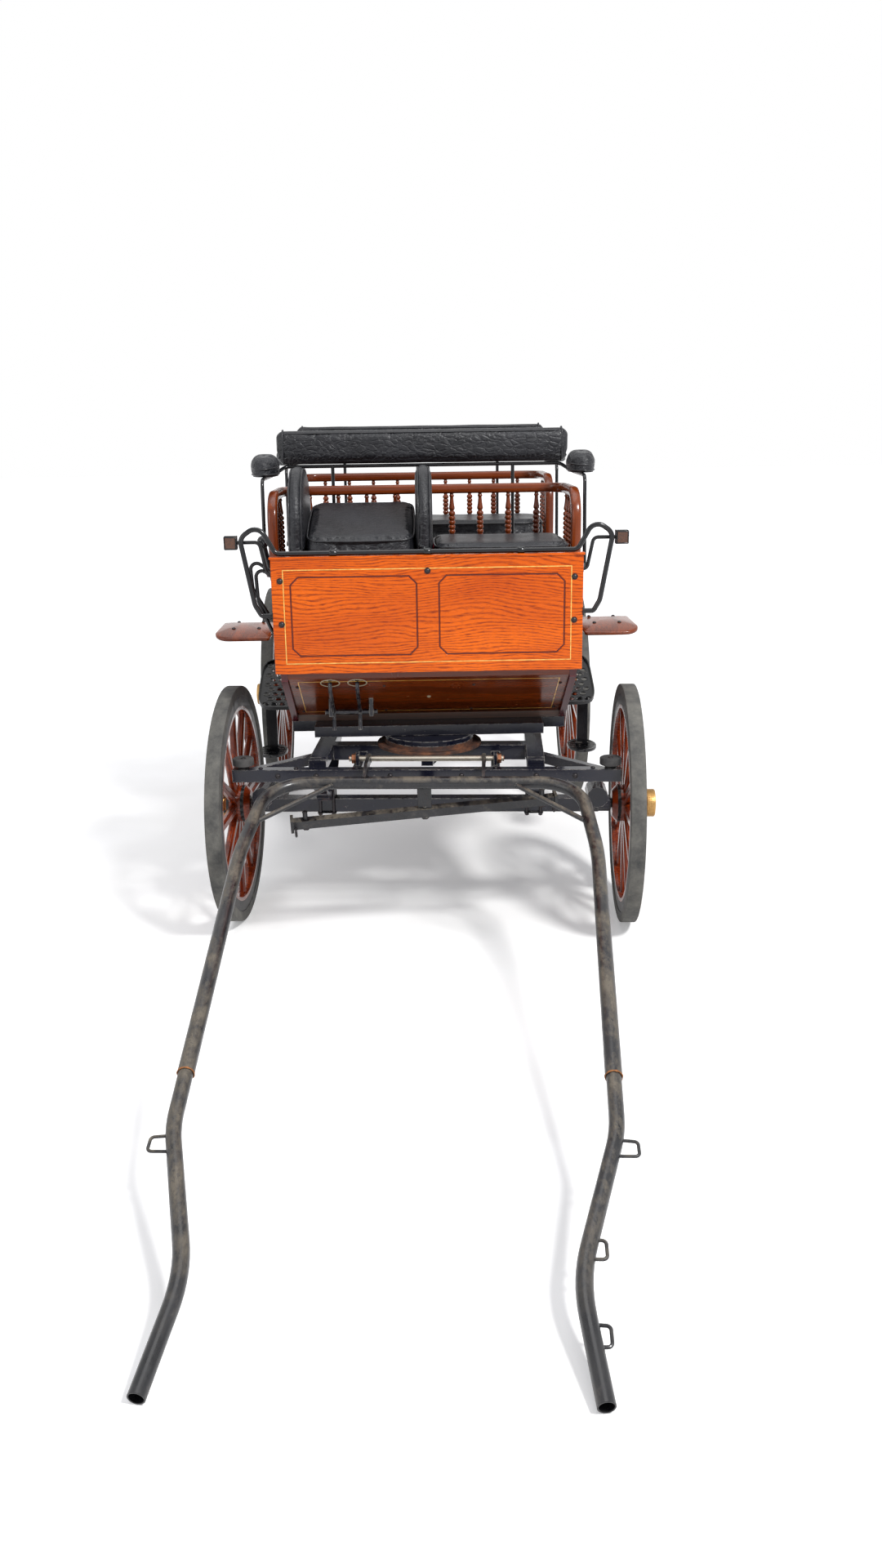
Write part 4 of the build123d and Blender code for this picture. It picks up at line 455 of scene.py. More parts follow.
class Stock:
    """Vertices and faces gathered for one joined mesh."""

    def __init__(self, turn=None):
        self.verts = []
        self.faces = []
        self.turn = turn

    def rings(self, rings, closed=False, caps=True):
        """Skins a list of equal rings of points."""
        start = len(self.verts)
        count = len(rings[0])
        for ring in rings:
            self.verts += [Vector(point) for point in ring]
        pairs = list(zip(range(len(rings)), range(1, len(rings))))
        if closed:
            pairs.append((len(rings) - 1, 0))
        for low, high in pairs:
            for index in range(count):
                after = (index + 1) % count
                self.faces.append((start + low * count + index, start + low * count + after,
                                   start + high * count + after, start + high * count + index))
        if caps and not closed:
            self.faces.append(tuple(start + index for index in reversed(range(count))))
            last = start + (len(rings) - 1) * count
            self.faces.append(tuple(last + index for index in range(count)))

    def lathe(self, place, axis, profile, sides=24):
        """Turns a profile of (distance along the axis, radius) round the axis."""
        axis = Vector(axis).normalized()
        side, up = ring_frame(axis)
        place = Vector(place)
        self.rings([[place + axis * along + (side * a + up * b) * max(radius, 1e-5) for a, b in circle(sides)]
                    for along, radius in profile])

    def bolt(self, place, axis, radius=0.008, height=0.005, dome=True):
        """A dome-headed bolt on its washer, or a hexagon nut."""
        if dome:
            profile = [(-0.001, radius * 1.15), (0.0012, radius * 1.15), (0.0013, radius)]
            for index in range(5):
                lift = math.radians(index * 20)
                profile.append((0.0013 + height * math.sin(lift), radius * math.cos(lift)))
            self.lathe(place, axis, profile, 16)
            return
        self.lathe(place, axis, [(-0.001, radius * 1.5), (0.0015, radius * 1.5)], 20)
        self.lathe(place, axis, [(0.0015, radius * 1.2), (height + 0.0015, radius * 1.2)], 6)
        self.lathe(place, axis, [(height, radius * 0.7), (height + 0.005, radius * 0.7)], 12)

    def tube(self, points, radius, sides=12, closed=False, section=None, bore=0):
        """A tube along a list of points, round or with a section of its own, its last end open if bored."""
        points = [Vector(point) for point in points]
        rings = []
        side = None
        around = section or circle(sides)
        for index, point in enumerate(points):
            before = points[index - 1] if index or closed else point
            after = points[(index + 1) % len(points)] if index < len(points) - 1 or closed else point
            direction = (after - before).normalized()
            if side is None:
                side, _ = ring_frame(direction)
            side = (side - direction * side.dot(direction)).normalized()
            up = direction.cross(side)
            rings.append([point + (side * first + up * second) * radius for first, second in around])
        if bore:
            tip = points[-1]
            inner = [tip + (point - tip) * bore for point in rings[-1]]
            rings += [inner, [point - direction * 0.07 for point in inner]]
        self.rings(rings, closed)

    def hoop(self, place, axis, radius, thickness, ripple=0.0, stretch=1.0):
        """A closed ring round an axis, such as a rim, a weld bead or a band."""
        axis = Vector(axis).normalized()
        side, up = ring_frame(axis)
        rings = []
        steps = 40
        for step, (a, b) in enumerate(circle(steps)):
            turn = 2 * math.pi * step / steps
            out = side * a + up * b
            size = thickness * (1 + ripple * math.sin(turn * 11) + ripple * math.sin(turn * 7 + 1))
            rings.append([Vector(place) + out * (radius + size * c) + axis * size * stretch * d
                          for c, d in circle(8)])
        self.rings(rings, closed=True)

    def plate(self, outline, depth):
        """A plate from its outline and the vector of its thickness."""
        outline = [Vector(point) for point in outline]
        self.rings([outline, [point + Vector(depth) for point in outline]])

    def knurl(self, place, axis, start, length, radius, around, rows, depth):
        """A band of small raised diamonds in rows round an axis."""
        axis = Vector(axis).normalized()
        side, up = ring_frame(axis)
        rings = []
        for row in range(2 * rows + 1):
            along = start + length * row / (2 * rows)
            ring = []
            for step, (a, b) in enumerate(circle(2 * around)):
                lift = depth if row % 2 and step % 2 else 0
                ring.append(Vector(place) + axis * along + (side * a + up * b) * (radius + lift))
            rings.append(ring)
        self.rings(rings)

    def box(self, low, high):
        """A plain block, bevelled only where its piece is bevelled."""
        corners = [(x, y, z) for z in (low[2], high[2]) for x, y in (
            (low[0], low[1]), (high[0], low[1]), (high[0], high[1]), (low[0], high[1]))]
        self.rings([corners[:4], corners[4:]])

    def strip(self, points, normal, width, lift, closed=False):
        """A flat painted line of a given width along points that lie on a surface."""
        points = [Vector(point) for point in points]
        normal = Vector(normal).normalized()
        rings = []
        count = len(points)
        for index, point in enumerate(points):
            before = points[index - 1] if index or closed else None
            after = points[(index + 1) % count] if index < count - 1 or closed else None
            legs = [(point - before).normalized()] if before is not None else []
            legs += [(after - point).normalized()] if after is not None else []
            direction = sum(legs, Vector()).normalized()
            across = normal.cross(direction)
            spread = 1 / max(0.3, direction.dot(legs[0]))
            half = across * width / 2 * spread
            rings.append([point - half - normal * 0.0003, point + half - normal * 0.0003,
                          point + half + normal * lift, point - half + normal * lift])
        self.rings(rings, closed)

    def piece(self, name, material, body, slot, smooth=40):
        verts = [self.turn @ vert for vert in self.verts] if self.turn else self.verts
        return mesh_object(name, verts, self.faces, material, body, smooth)


def bevelled(piece, width, segments=2):
    """Rounds a piece's sharp edges with a modifier."""
    weld = piece.modifiers.new("weld", "WELD")
    weld.merge_threshold = 0.00002
    bevel = piece.modifiers.new("bevel", "BEVEL")
    bevel.width = width
    bevel.segments = segments
    bevel.limit_method = "ANGLE"
    bevel.angle_limit = math.radians(38)
    bevel.use_clamp_overlap = True
    bevel.harden_normals = False
    return piece


def arc_points(points, bends, steps=8):
    """A route of straight runs, with each inner corner rounded to a radius."""
    points = [Vector(point) for point in points]
    route = [points[0]]
    for before, corner, after, bend in zip(points, points[1:], points[2:], bends):
        first = (before - corner).normalized()
        second = (after - corner).normalized()
        half = first.angle(second) / 2
        reach = bend / math.tan(half)
        centre = corner + (first + second).normalized() * bend / math.sin(half)
        start = corner + first * reach - centre
        end = corner + second * reach - centre
        sweep = start.angle(end)
        for step in range(steps + 1):
            share = step / steps
            turned = (start * math.sin((1 - share) * sweep) + end * math.sin(share * sweep)) / math.sin(sweep)
            route.append(centre + turned)
    route.append(points[-1])
    return route


# Camera, light and stage

def look():
    data = bpy.data.cameras.new("photo_camera")
    data.sensor_fit = "VERTICAL"
    data.sensor_height = 36
    data.lens = FOCAL_PIXELS / PHOTO_HEIGHT * data.sensor_height
    data.clip_end = 200
    camera = add_object("photo_camera", data)
    yaw = Matrix.Rotation(math.radians(CAMERA_YAW), 4, "Z")
    pitch = Matrix.Rotation(math.radians(90 - CAMERA_PITCH), 4, "X")
    roll = Matrix.Rotation(math.radians(CAMERA_ROLL), 4, "Z")
    camera.matrix_world = Matrix.Translation(CAMERA_PLACE) @ yaw @ pitch @ roll
    bpy.context.scene.camera = camera
    bpy.context.scene.view_settings.view_transform = "Standard"


def lamp(name, place, target, size, power):
    data = bpy.data.lights.new(name, "AREA")
    data.shape = "DISK"
    data.size = size
    data.energy = power
    light = add_object(name, data)
    light.location = place
    light.visible_glossy = name != "rear"
    light.rotation_euler = (Vector(target) - Vector(place)).to_track_quat("-Z", "Y").to_euler()


def pale_world():
    """A dim, slightly blue light all round that shows as plain white."""
    world = bpy.data.worlds.new("pale_world")
    bpy.context.scene.world = world
    world.use_nodes = True
    nodes = world.node_tree.nodes
    links = world.node_tree.links
    sky = nodes["Background"]
    sky.inputs[0].default_value = (0.86, 0.9, 1.0, 1)
    sky.inputs[1].default_value = 0.36
    shown = nodes.new("ShaderNodeBackground")
    shown.inputs[0].default_value = (1, 1, 1, 1)
    shown.inputs[1].default_value = 1.0
    rays = nodes.new("ShaderNodeLightPath")
    seen = rays.outputs["Is Camera Ray"]
    for kind in ("Transmission", "Glossy"):
        either = nodes.new("ShaderNodeMath")
        either.operation = "MAXIMUM"
        links.new(seen, either.inputs[0])
        links.new(rays.outputs["Is " + kind + " Ray"], either.inputs[1])
        seen = either.outputs[0]
    blend = nodes.new("ShaderNodeMixShader")
    links.new(seen, blend.inputs[0])
    links.new(sky.outputs[0], blend.inputs[1])
    links.new(shown.outputs[0], blend.inputs[2])
    links.new(blend.outputs[0], nodes["World Output"].inputs[0])


def stage_floor():
    """A pale floor that glows faintly, more so far out, where the camera sees it."""
    mesh = bpy.data.meshes.new("stage_floor")
    reach = 40
    mesh.from_pydata([(-reach, -reach, 0), (reach, -reach, 0), (reach, reach, 0), (-reach, reach, 0)], [],
                     [(0, 1, 2, 3)])
    floor = add_object("stage_floor", mesh)
    finish = Finish("stage_floor", Roughness=0.9, Specular_IOR_Level=0.1)
    tone = finish.noise(3, detail=5)
    finish.colour(finish.ramp(tone, (0.3, srgb(232, 231, 229)), (0.7, srgb(240, 239, 238))))
    rays = finish.add("LightPath")
    glow = finish.math("MAXIMUM", rays.outputs["Is Camera Ray"], rays.outputs["Is Glossy Ray"])
    glow = finish.math("MAXIMUM", glow, rays.outputs["Is Transmission Ray"])
    far = finish.add("VectorMath", {0: finish.place()}, operation="LENGTH").outputs["Value"]
    level = finish.ramp(finish.math("DIVIDE", far, 16.0), (0.14, 0.26), (0.75, 1.0))
    finish.feed(finish.shader.inputs["Emission Strength"], finish.math("MULTIPLY", glow, level))
    finish.shader.inputs["Emission Color"].default_value = (1, 1, 1, 1)
    mesh.materials.append(finish.material)


def stage():
    """The world, four soft lamps and the floor."""
    pale_world()
    # Columns: name, place, target, size, power
    for lamp_row in (("key", (3.4, -4.6, 6.2), (0, 0.2, 0.9), 1.3, 640),
                     ("fill", (-5.0, -3.0, 3.2), (0, 0.3, 0.9), 3.6, 80),
                     ("rear", (-2.5, 6.5, 5.0), (0, 1.0, 0.9), 3.5, 160),
                     ("overhead", (0, 0.2, 6.0), (0, 0.2, 0), 4.0, 90)):
        lamp(*lamp_row)
    stage_floor()


# Finishes of the carried-over nodes

def dress(materials, names, finish, bevel=0.0, segments=2):
    """Gives nodes a finish and, where asked, rounded edges."""
    for name in names:
        node = NODES[name]
        mesh = node.data
        mesh.materials.clear()
        mesh.materials.append(materials[finish])
        for face in mesh.polygons:
            face.material_index = 0
        if bevel:
            bevelled(node, bevel, segments)


def make_materials():
    made = {
        "oak": orange_oak(),
        "mahogany_x": mahogany("mahogany_varnish_x", 0),
        "mahogany_y": mahogany("mahogany_varnish_y", 1),
        "mahogany_z": mahogany("mahogany_varnish_z", 2),
        "leather": black_leather("black_leather", 0.25),
        "creased": black_leather("creased_leather", 0.42),
        # Pale non-metal paint for the pedal rims: a painted reflection that stands for their chrome and keeps
        # them bright in shade
        "pale": plain_gloss("pale_chrome_reflection", srgb(172, 160, 134), 0.3),
        # Dark red-brown for the painted shade in the bottoms of the dash's grooves
        "shade": plain_gloss("groove_shade", srgb(84, 22, 6), 0.3),
        "navy": chipped_paint("navy_paint", srgb(6, 9, 27), srgb(186, 180, 170), 1.5, dusty=0.1),
        "black": chipped_paint("black_paint", srgb(8, 9, 14), srgb(96, 90, 84), 0.15, dusty=0.06),
        "wine": chipped_paint("wine_red_paint", srgb(78, 10, 20), srgb(120, 80, 60), 0.1, 0.18, 0.04),
        "spring": chipped_paint("spring_steel", srgb(22, 26, 40), srgb(118, 78, 56), 0.9, 0.35, 0.3),
        "worn": worn_steel(),
        "rust": rusty_steel(),
        "bright": plain_metal("bright_steel", srgb(178, 172, 160), 0.35, (1, 6, 6), (120, 84, 60)),
        "brass": plain_metal("brass", srgb(184, 146, 92), 0.34, tarnish=(88, 64, 36)),
        "weld": plain_metal("weld_ring", srgb(150, 104, 70), 0.5),
        "copper": plain_metal("copper_brown_nut", srgb(138, 92, 68), 0.4),
        "bolt": plain_metal("dark_bolt", srgb(58, 56, 58), 0.3),
        "tyre": dusty_rubber("tyre_rubber", srgb(58, 58, 58), srgb(112, 110, 104)),
        "block": dusty_rubber("block_rubber", srgb(40, 40, 42), srgb(84, 82, 80)),
        "piping": leather_piping(),
        "knob": plain_gloss("knob_gloss", srgb(12, 12, 16), 0.1, 0.5),
        "gold": gold_paint(),
        "boards": floor_boards(),
        "lens": amber_plastic(),
    }
    tyre_depth = 0.036
    felloe_depth = 0.05
    for corner in CORNERS:
        low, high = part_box("tyre_" + corner)
        centre = (low + high) / 2
        rim = (high.z - low.z) / 2 - tyre_depth
        steer = STEER if corner.startswith("front") else 0
        made["wheel_" + corner] = painted_wheel("painted_wheel_" + corner, centre, rim - felloe_depth, steer)
    return made


def dress_nodes(made):
    # Columns: finish, width of the rounded edges in metres, nodes
    table = (
        ("oak", 0.0015, ("dash_panel", "tail_panel")),
        ("mahogany_x", 0.0015, ("toe_board",)),
        ("mahogany_y", 0.0025, ("fender_boards",)),
        ("wine", 0.002, ("body_side_left", "body_side_right", "seat_boxes", "seat_boards")),
        ("boards", 0.0, ("floor",)),
        ("leather", 0.0, ("passenger_cushion", "rear_cushion", "driver_cushion", "driver_bolsters",
                          "lazybacks", "arm_pads")),
        ("navy", 0.0015, ("chassis_frame", "turntable_upper", "fore_frame", "splinter_bar", "front_axle",
                          "rear_axle", "fender_brackets")),
        ("black", 0.0, ("back_irons", "rein_rail", "lamp_brackets", "brake_lever", "brake_quadrant")),
        ("navy", 0.001, ("brake_pedals",)),
        ("black", 0.001, ("side_steps", "lamps")),
        ("spring", 0.001, ("front_springs", "rear_springs")),
        ("worn", 0.0, ("shafts", "swingletree")),
        ("rust", 0.001, ("turntable_lower",)),
        ("bright", 0.0, ("shaft_pivot_rod",)),
        ("block", 0.002, ("roller_bolts",)),
        ("lens", 0.001, ("lamp_lenses",)),
        ("mahogany_x", 0.0, ("front_gallery", "rear_gallery")),
    )
    for finish, bevel, names in table:
        dress(made, names, finish, bevel)
    for corner in CORNERS:
        dress(made, ("tyre_" + corner,), "tyre", 0.003)
        dress(made, ("wheel_" + corner,), "wheel_" + corner, 0.0015)
        dress(made, ("hub_cap_" + corner,), "brass")


# Shared routes and sizes, the same as the CAD source's, in metres

SHAFT_SLOPE = math.atan2(0.61 - 0.0185, 2.45 - 0.38)
SHAFT_NORMAL = Vector((0, -math.sin(SHAFT_SLOPE), math.cos(SHAFT_SLOPE)))
SHAFT_CROSS = ((-0.54, 0.76, 1.4), (-0.508, 0.38, 0.15), (0.508, 0.38, 0.15), (0.54, 0.76, 1.4))
SHAFT_FRONT = ((0.508, 1.815, 0.42), (0.402, 2.19, 0.42), (0.434, 2.45, 0))
SHAFT_JOINT = (0.513, 1.65)
# Columns: reach, half spacing of the shafts there, how far the loop stands out, sides that have it
SHAFT_LOOPS = ((1.86, 0.495, 0.056, (-1, 1)), (2.12, 0.422, 0.038, (1,)), (2.31, 0.4165, 0.038, (1,)))
SEAT_TOP = 1.232
# Columns: name of the row, how far back it lies, how much higher
ROWS = (("front", 0.0, 0.0), ("rear", 0.95, 0.01))
SEAT_FRONT = KINGPIN.y + 0.335
SEAT_BACK = SEAT_FRONT + 0.53
GALLERY_X = 0.56
GALLERY_INSET = 0.05
GALLERY_RISE = 0.253
IRON_X = 0.598
IRON_ROD = 0.007
BODY_SIDE_X = 0.485
DASH_FACE = -0.114
REIN_RAIL_Y = DASH_FACE + 0.012
LAMP_Y = KINGPIN.y - 0.249
LAMP_X = 0.626
TOE_SLOPE = math.atan2(0.21, 0.335)
TOE_FOOT_Z = 0.75
TAIL_FACE = KINGPIN.y + 1.76
PEDALS_X = (-0.328, -0.238)
PEDAL_Y = KINGPIN.y - 0.22
PEDAL_Z = TOE_FOOT_Z + 0.29 * math.tan(TOE_SLOPE)
BRAKE_PIVOT = Vector((-0.501, KINGPIN.y - 0.06, 1.01))
HALF_TRACK = 0.7
SPRING_X = 0.37
STRAP_SPACE = 0.024
PIVOT_Y = KINGPIN.y - 0.205
PIVOT_Z = 0.646
ROLLER_X = 0.618
SPLINTER_Y = KINGPIN.y - 0.251
# Columns: body, height, place, turn, half the length of its springs
AXLES = {"front": ("fore_carriage", 0.425, KINGPIN.y, STEERED, 0.21),
         "rear": ("body", 0.5, REAR_AXLE_Y, None, 0.26)}


def on_shafts(x, reach, rise=0.0):
    """A point of the shafts' sloping plane, before the fore-carriage is turned."""
    return Vector((x, KINGPIN.y - reach, 0.61 - (reach - 0.38) * math.tan(SHAFT_SLOPE))) + SHAFT_NORMAL * rise


# Shafts and fore-carriage

def shafts(made):
    """Two bent tubes welded into one frame, with loops, braces and lugs."""
    stock = Stock(STEERED)
    welds = Stock(STEERED)
    joint_x, joint_reach = SHAFT_JOINT
    main = [on_shafts(-joint_x, joint_reach)] + [on_shafts(x, reach) for x, reach, _ in SHAFT_CROSS]
    main.append(on_shafts(joint_x, joint_reach))
    stock.tube(arc_points(main, [bend for _, _, bend in SHAFT_CROSS], 10), 0.021, 24)
    for side in (-1, 1):
        joint = on_shafts(side * joint_x, joint_reach)
        front = [joint] + [on_shafts(side * x, reach) for x, reach, _ in SHAFT_FRONT]
        stock.tube(arc_points(front, [0.42, 0.42], 8), 0.0185, 24, bore=0.82)
        welds.hoop(joint, front[1] - joint, 0.0207, 0.0017, 0.2, 1.4)
        foot = on_shafts(side * 0.285, 0.38)
        head = on_shafts(side * 0.527, 0.61)
        stock.tube([foot, head], 0.008, 14)
        stock.hoop(foot + (head - foot) * 0.075, head - foot, 0.008, 0.003, 0.2)
        stock.hoop(head - (head - foot) * 0.055, head - foot, 0.008, 0.003, 0.2)
        for reach, x, out, sides in SHAFT_LOOPS:
            if side in sides:
                slant = 0.006 if reach < 2 else 0.002
                near, far = reach - 0.023, reach + 0.023
                ends = [on_shafts(side * (x - 0.004), near), on_shafts(side * (x + out), near + slant),
                        on_shafts(side * (x + out), far), on_shafts(side * (x - 0.006), far)]
                stock.tube(arc_points(ends, [0.01, 0.01], 6), 0.004, 10)
        lug = side * 0.195
        outline = ((-0.392, 0.604), (-0.392, 0.624), (-0.36, 0.645), (-0.325, 0.662), (-0.2, 0.662),
                   (-0.189, 0.655), (-0.189, 0.64), (-0.2, 0.631), (-0.286, 0.631), (-0.37, 0.604))
        stock.plate([(lug - 0.006, KINGPIN.y + y, z) for y, z in outline], (0.012, 0, 0))
        stock.hoop((lug, PIVOT_Y, PIVOT_Z), (1, 0, 0), 0.0135, 0.0035, 0, 2.2)
    hang = on_shafts(0, 0.38)
    across = Vector((1, 0, 0))
    deep = SHAFT_NORMAL.cross(across)
    half = [(0.023, 0.006), (-0.023, 0.006), (-0.023, -0.006), (0.023, -0.006)]
    stock.plate([hang + across * a + deep * b for a, b in half], -SHAFT_NORMAL * 0.096)
    stock.lathe(hang, -SHAFT_NORMAL, [(0.09, 0.009), (0.134, 0.009)], 16)
    stock.lathe(hang, -SHAFT_NORMAL, [(0.1275, 0.016), (0.1295, 0.016)], 20)
    stock.lathe(hang, -SHAFT_NORMAL, [(0.1295, 0.0145), (0.1365, 0.0145)], 6)
    piece = stock.piece("bent_shafts", made["worn"], "shafts", "worn_black_steel", 35)
    bevelled(piece, 0.001, 1)
    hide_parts("shafts")
    welds.piece("weld_rings", made["weld"], "shafts", "worn_black_steel")


def swingletree_fittings(made):
    """Hooks at the ends, washers under the pegs and caps on them."""
    stock = Stock(STEERED)
    yaw = math.radians(10)
    centre = on_shafts(0, 0.38, -0.112)
    back = SHAFT_NORMAL.cross(Vector((1, 0, 0)))
    along = Vector((1, 0, 0)) * math.cos(yaw) + back * math.sin(yaw)
    for side in (-1, 1):
        peg = centre + along * 0.395 * side
        stock.lathe(peg, SHAFT_NORMAL, [(0.0145, 0.015), (0.0165, 0.015), (0.0165, 0.0145)], 20)
        stock.lathe(peg, SHAFT_NORMAL,
                    [(0.0405, 0.0086), (0.0425, 0.0092), (0.0445, 0.0086), (0.0456, 0.0045)], 18)
        stock.lathe(peg, -SHAFT_NORMAL, [(0.0148, 0.013), (0.022, 0.013)], 6)
        end = centre + along * 0.425 * side - SHAFT_NORMAL * 0.012
        forward = -(SHAFT_NORMAL.cross(along)).normalized()
        loop = [end, end + forward * 0.018 + along * 0.004 * side]
        for step in range(13):
            turn = math.radians(-80 + step * 22)
            loop.append(end + forward * (0.032 + 0.013 * math.sin(turn)) + along * 0.004 * side
                        - SHAFT_NORMAL * 0.013 * math.cos(turn))
        stock.tube(loop, 0.0042, 10)
    stock.piece("swingletree_fittings", made["bolt"], "swingletree", "worn_black_steel")


def fore_fittings(made):
    """Roller pucks, bolts on the splinter bar and turntable, and the nuts of the shafts' pivot."""
    splinter_top = 0.624
    pucks = Stock(STEERED)
    for side in (-1, 1):
        foot = (side * ROLLER_X, SPLINTER_Y, splinter_top)
        pucks.lathe(foot, (0, 0, 1), [
            (0.0, 0.019), (0.003, 0.019), (0.0032, 0.012), (0.0118, 0.012), (0.012, 0.033),
            (0.0135, 0.0352), (0.016, 0.036), (0.033, 0.036), (0.036, 0.0348), (0.0376, 0.032),
            (0.0378, 0.029), (0.0358, 0.0275), (0.0356, 0.013), (0.0362, 0.0115)], 40)
    piece = pucks.piece("roller_pucks", made["block"], "fore_carriage", "block_rubber", 35)
    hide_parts("roller_bolts")
    bolts = Stock(STEERED)
    for side in (-1, 1):
        bolts.bolt((side * ROLLER_X, SPLINTER_Y, 0.6594), (0, 0, 1), 0.009, 0.0025)
        for x in (0.12, 0.37, 0.5):
            bolts.bolt((side * x, KINGPIN.y - 0.27, 0.602), (0, -1, 0), 0.008, 0.005)
        for x in (0.234, 0.44, 0.56):
            bolts.bolt((side * x, SPLINTER_Y, splinter_top), (0, 0, 1), 0.007, 0.004)
    for step in range(10):
        turn = math.radians(18 + step * 36)
        place = KINGPIN + Vector((0.17 * math.sin(turn), 0.17 * math.cos(turn), 0.648 - 0.0002))
        bolts.bolt(place, (0, 0, 1), 0.0065, 0.005, dome=False)
    bolts.piece("fore_bolts", made["bolt"], "fore_carriage", "black_paint")
    nuts = Stock(STEERED)
    for side in (-1, 1):
        nuts.lathe((side * 0.24, PIVOT_Y, PIVOT_Z), (side, 0, 0), [(0, 0.021), (0.002, 0.021)], 24)
        nuts.lathe((side * 0.242, PIVOT_Y, PIVOT_Z), (side, 0, 0),
                   [(0, 0.0155), (0.001, 0.0172), (0.011, 0.0172), (0.0123, 0.0155)], 6)
        nuts.hoop((side * 0.262, PIVOT_Y, PIVOT_Z), (1, 0, 0), 0.0093, 0.0012)
    nuts.piece("pivot_nuts", made["copper"], "fore_carriage", "bright_steel", 25)


def axle_straps(made):
    """Straps and plates that clamp the springs to the axles, and bolts in the springs' eyes."""
    for name, (body, axle_z, axle_y, turn, half_span) in AXLES.items():
        straps = Stock(turn)
        for side in (-1, 1):
            for x in (SPRING_X - STRAP_SPACE, SPRING_X + STRAP_SPACE):
                low, high = axle_z - 0.036, axle_z + 0.025 + 0.036
                loop = [(side * x, axle_y - 0.031, low), (side * x, axle_y - 0.031, high),
                        (side * x, axle_y + 0.031, high), (side * x, axle_y + 0.031, low)]
                straps.tube(arc_points(loop, [0.009, 0.009], 6), 0.005, 12)
                for end in (-1, 1):
                    straps.lathe((side * x, axle_y + end * 0.031, axle_z - 0.0258), (0, 0, -1),
                                 [(0, 0.0085), (0.008, 0.0085)], 6)
            middle = side * SPRING_X
            straps.box((middle - 0.034, axle_y - 0.04, axle_z - 0.0262),
                       (middle + 0.034, axle_y + 0.04, axle_z - 0.0248))
            eye_z = axle_z + 0.025 + 0.024 + 0.072 + 0.008
            for end in (-1, 1):
                for face in (1, -1):
                    place = (side * (SPRING_X + face * 0.028), axle_y + end * half_span, eye_z)
                    straps.bolt(place, (side * face, 0, 0), 0.008, 0.004, dome=False)
        piece = straps.piece(name + "_axle_straps", made["bolt"], body, "spring_steel", 30)
        bevelled(piece, 0.0006, 1)


def wheel_fittings(made):
    """Turned brass caps with a knurled band, iron bands round the naves and their bolts."""
    for corner in CORNERS:
        row, hand = corner.split("_")
        side = 1 if hand == "left" else -1
        _, axle_z, axle_y, turn, _ = AXLES[row]
        centre = Vector((side * HALF_TRACK, axle_y, axle_z))
        cap = Stock(turn)
        base = centre + Vector((side * 0.04, 0, 0))
        cap.lathe(base, (side, 0, 0), [
            (0.0, 0.0485), (0.003, 0.0495), (0.0045, 0.0465), (0.0075, 0.0445), (0.011, 0.0455),
            (0.0125, 0.044), (0.0225, 0.0432), (0.0235, 0.0452), (0.0262, 0.0462), (0.0275, 0.0445),
            (0.0295, 0.0445), (0.0305, 0.0478), (0.0325, 0.0486), (0.0575, 0.0486), (0.0595, 0.0478),
            (0.0605, 0.046), (0.0607, 0.037), (0.0617, 0.0355), (0.0632, 0.030), (0.0638, 0.015)], 64)
        cap.knurl(base, (side, 0, 0), 0.0327, 0.0246, 0.0484, 40, 5, 0.0016)
        piece = cap.piece("cap_" + corner, made["brass"], "wheel_" + corner, "brass", 28)
        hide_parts("hub_cap_" + corner)
        bands = Stock(turn)
        low, high = 0.0655, 0.0672
        for levels in ((0.019, 0.0195, 0.0275, 0.0282), (-0.034, -0.0335, -0.0225, -0.022)):
            bands.lathe(centre, (side, 0, 0), list(zip(levels, (low, high, high, low))), 56)
        for step in range(6):
            lift = math.radians(15 + step * 60)
            out = Vector((0, math.cos(lift), math.sin(lift)))
            place = centre + out * 0.0565 + Vector((side * 0.0335, 0, 0))
            bands.bolt(place, (side, 0, 0), 0.0048, 0.003, dome=False)
        bands.piece("nave_bands_" + corner, made["black"], "wheel_" + corner, "black_paint", 30)


# Galleries

def spindle_profile(height):
    """Eight beads over a foot, then a vase, widest at its foot, with a ring near its top."""
    profile = [(0.0, 0.0138), (0.017, 0.0138), (0.0205, 0.0126), (0.0225, 0.0092)]
    bead_start = 0.0235
    bead_length = 0.0178
    for bead in range(8):
        for step in range(9):
            share = step / 8
            radius = 0.0086 + 0.0054 * math.sqrt(max(0, 1 - (2 * share - 1) ** 2))
            profile.append((bead_start + bead_length * (bead + share * 0.985), radius))
    vase = ((0.1675, 0.0086), (0.1695, 0.0080), (0.1720, 0.0104), (0.1755, 0.0122), (0.1800, 0.0119),
            (0.1880, 0.0104), (0.1990, 0.0088), (0.2110, 0.0077), (0.2210, 0.0072), (0.2235, 0.0093),
            (0.2260, 0.0100), (0.2285, 0.0090), (0.2310, 0.0074), (0.2350, 0.0080))
    profile += list(vase)
    profile.append((height, 0.0088))
    return profile


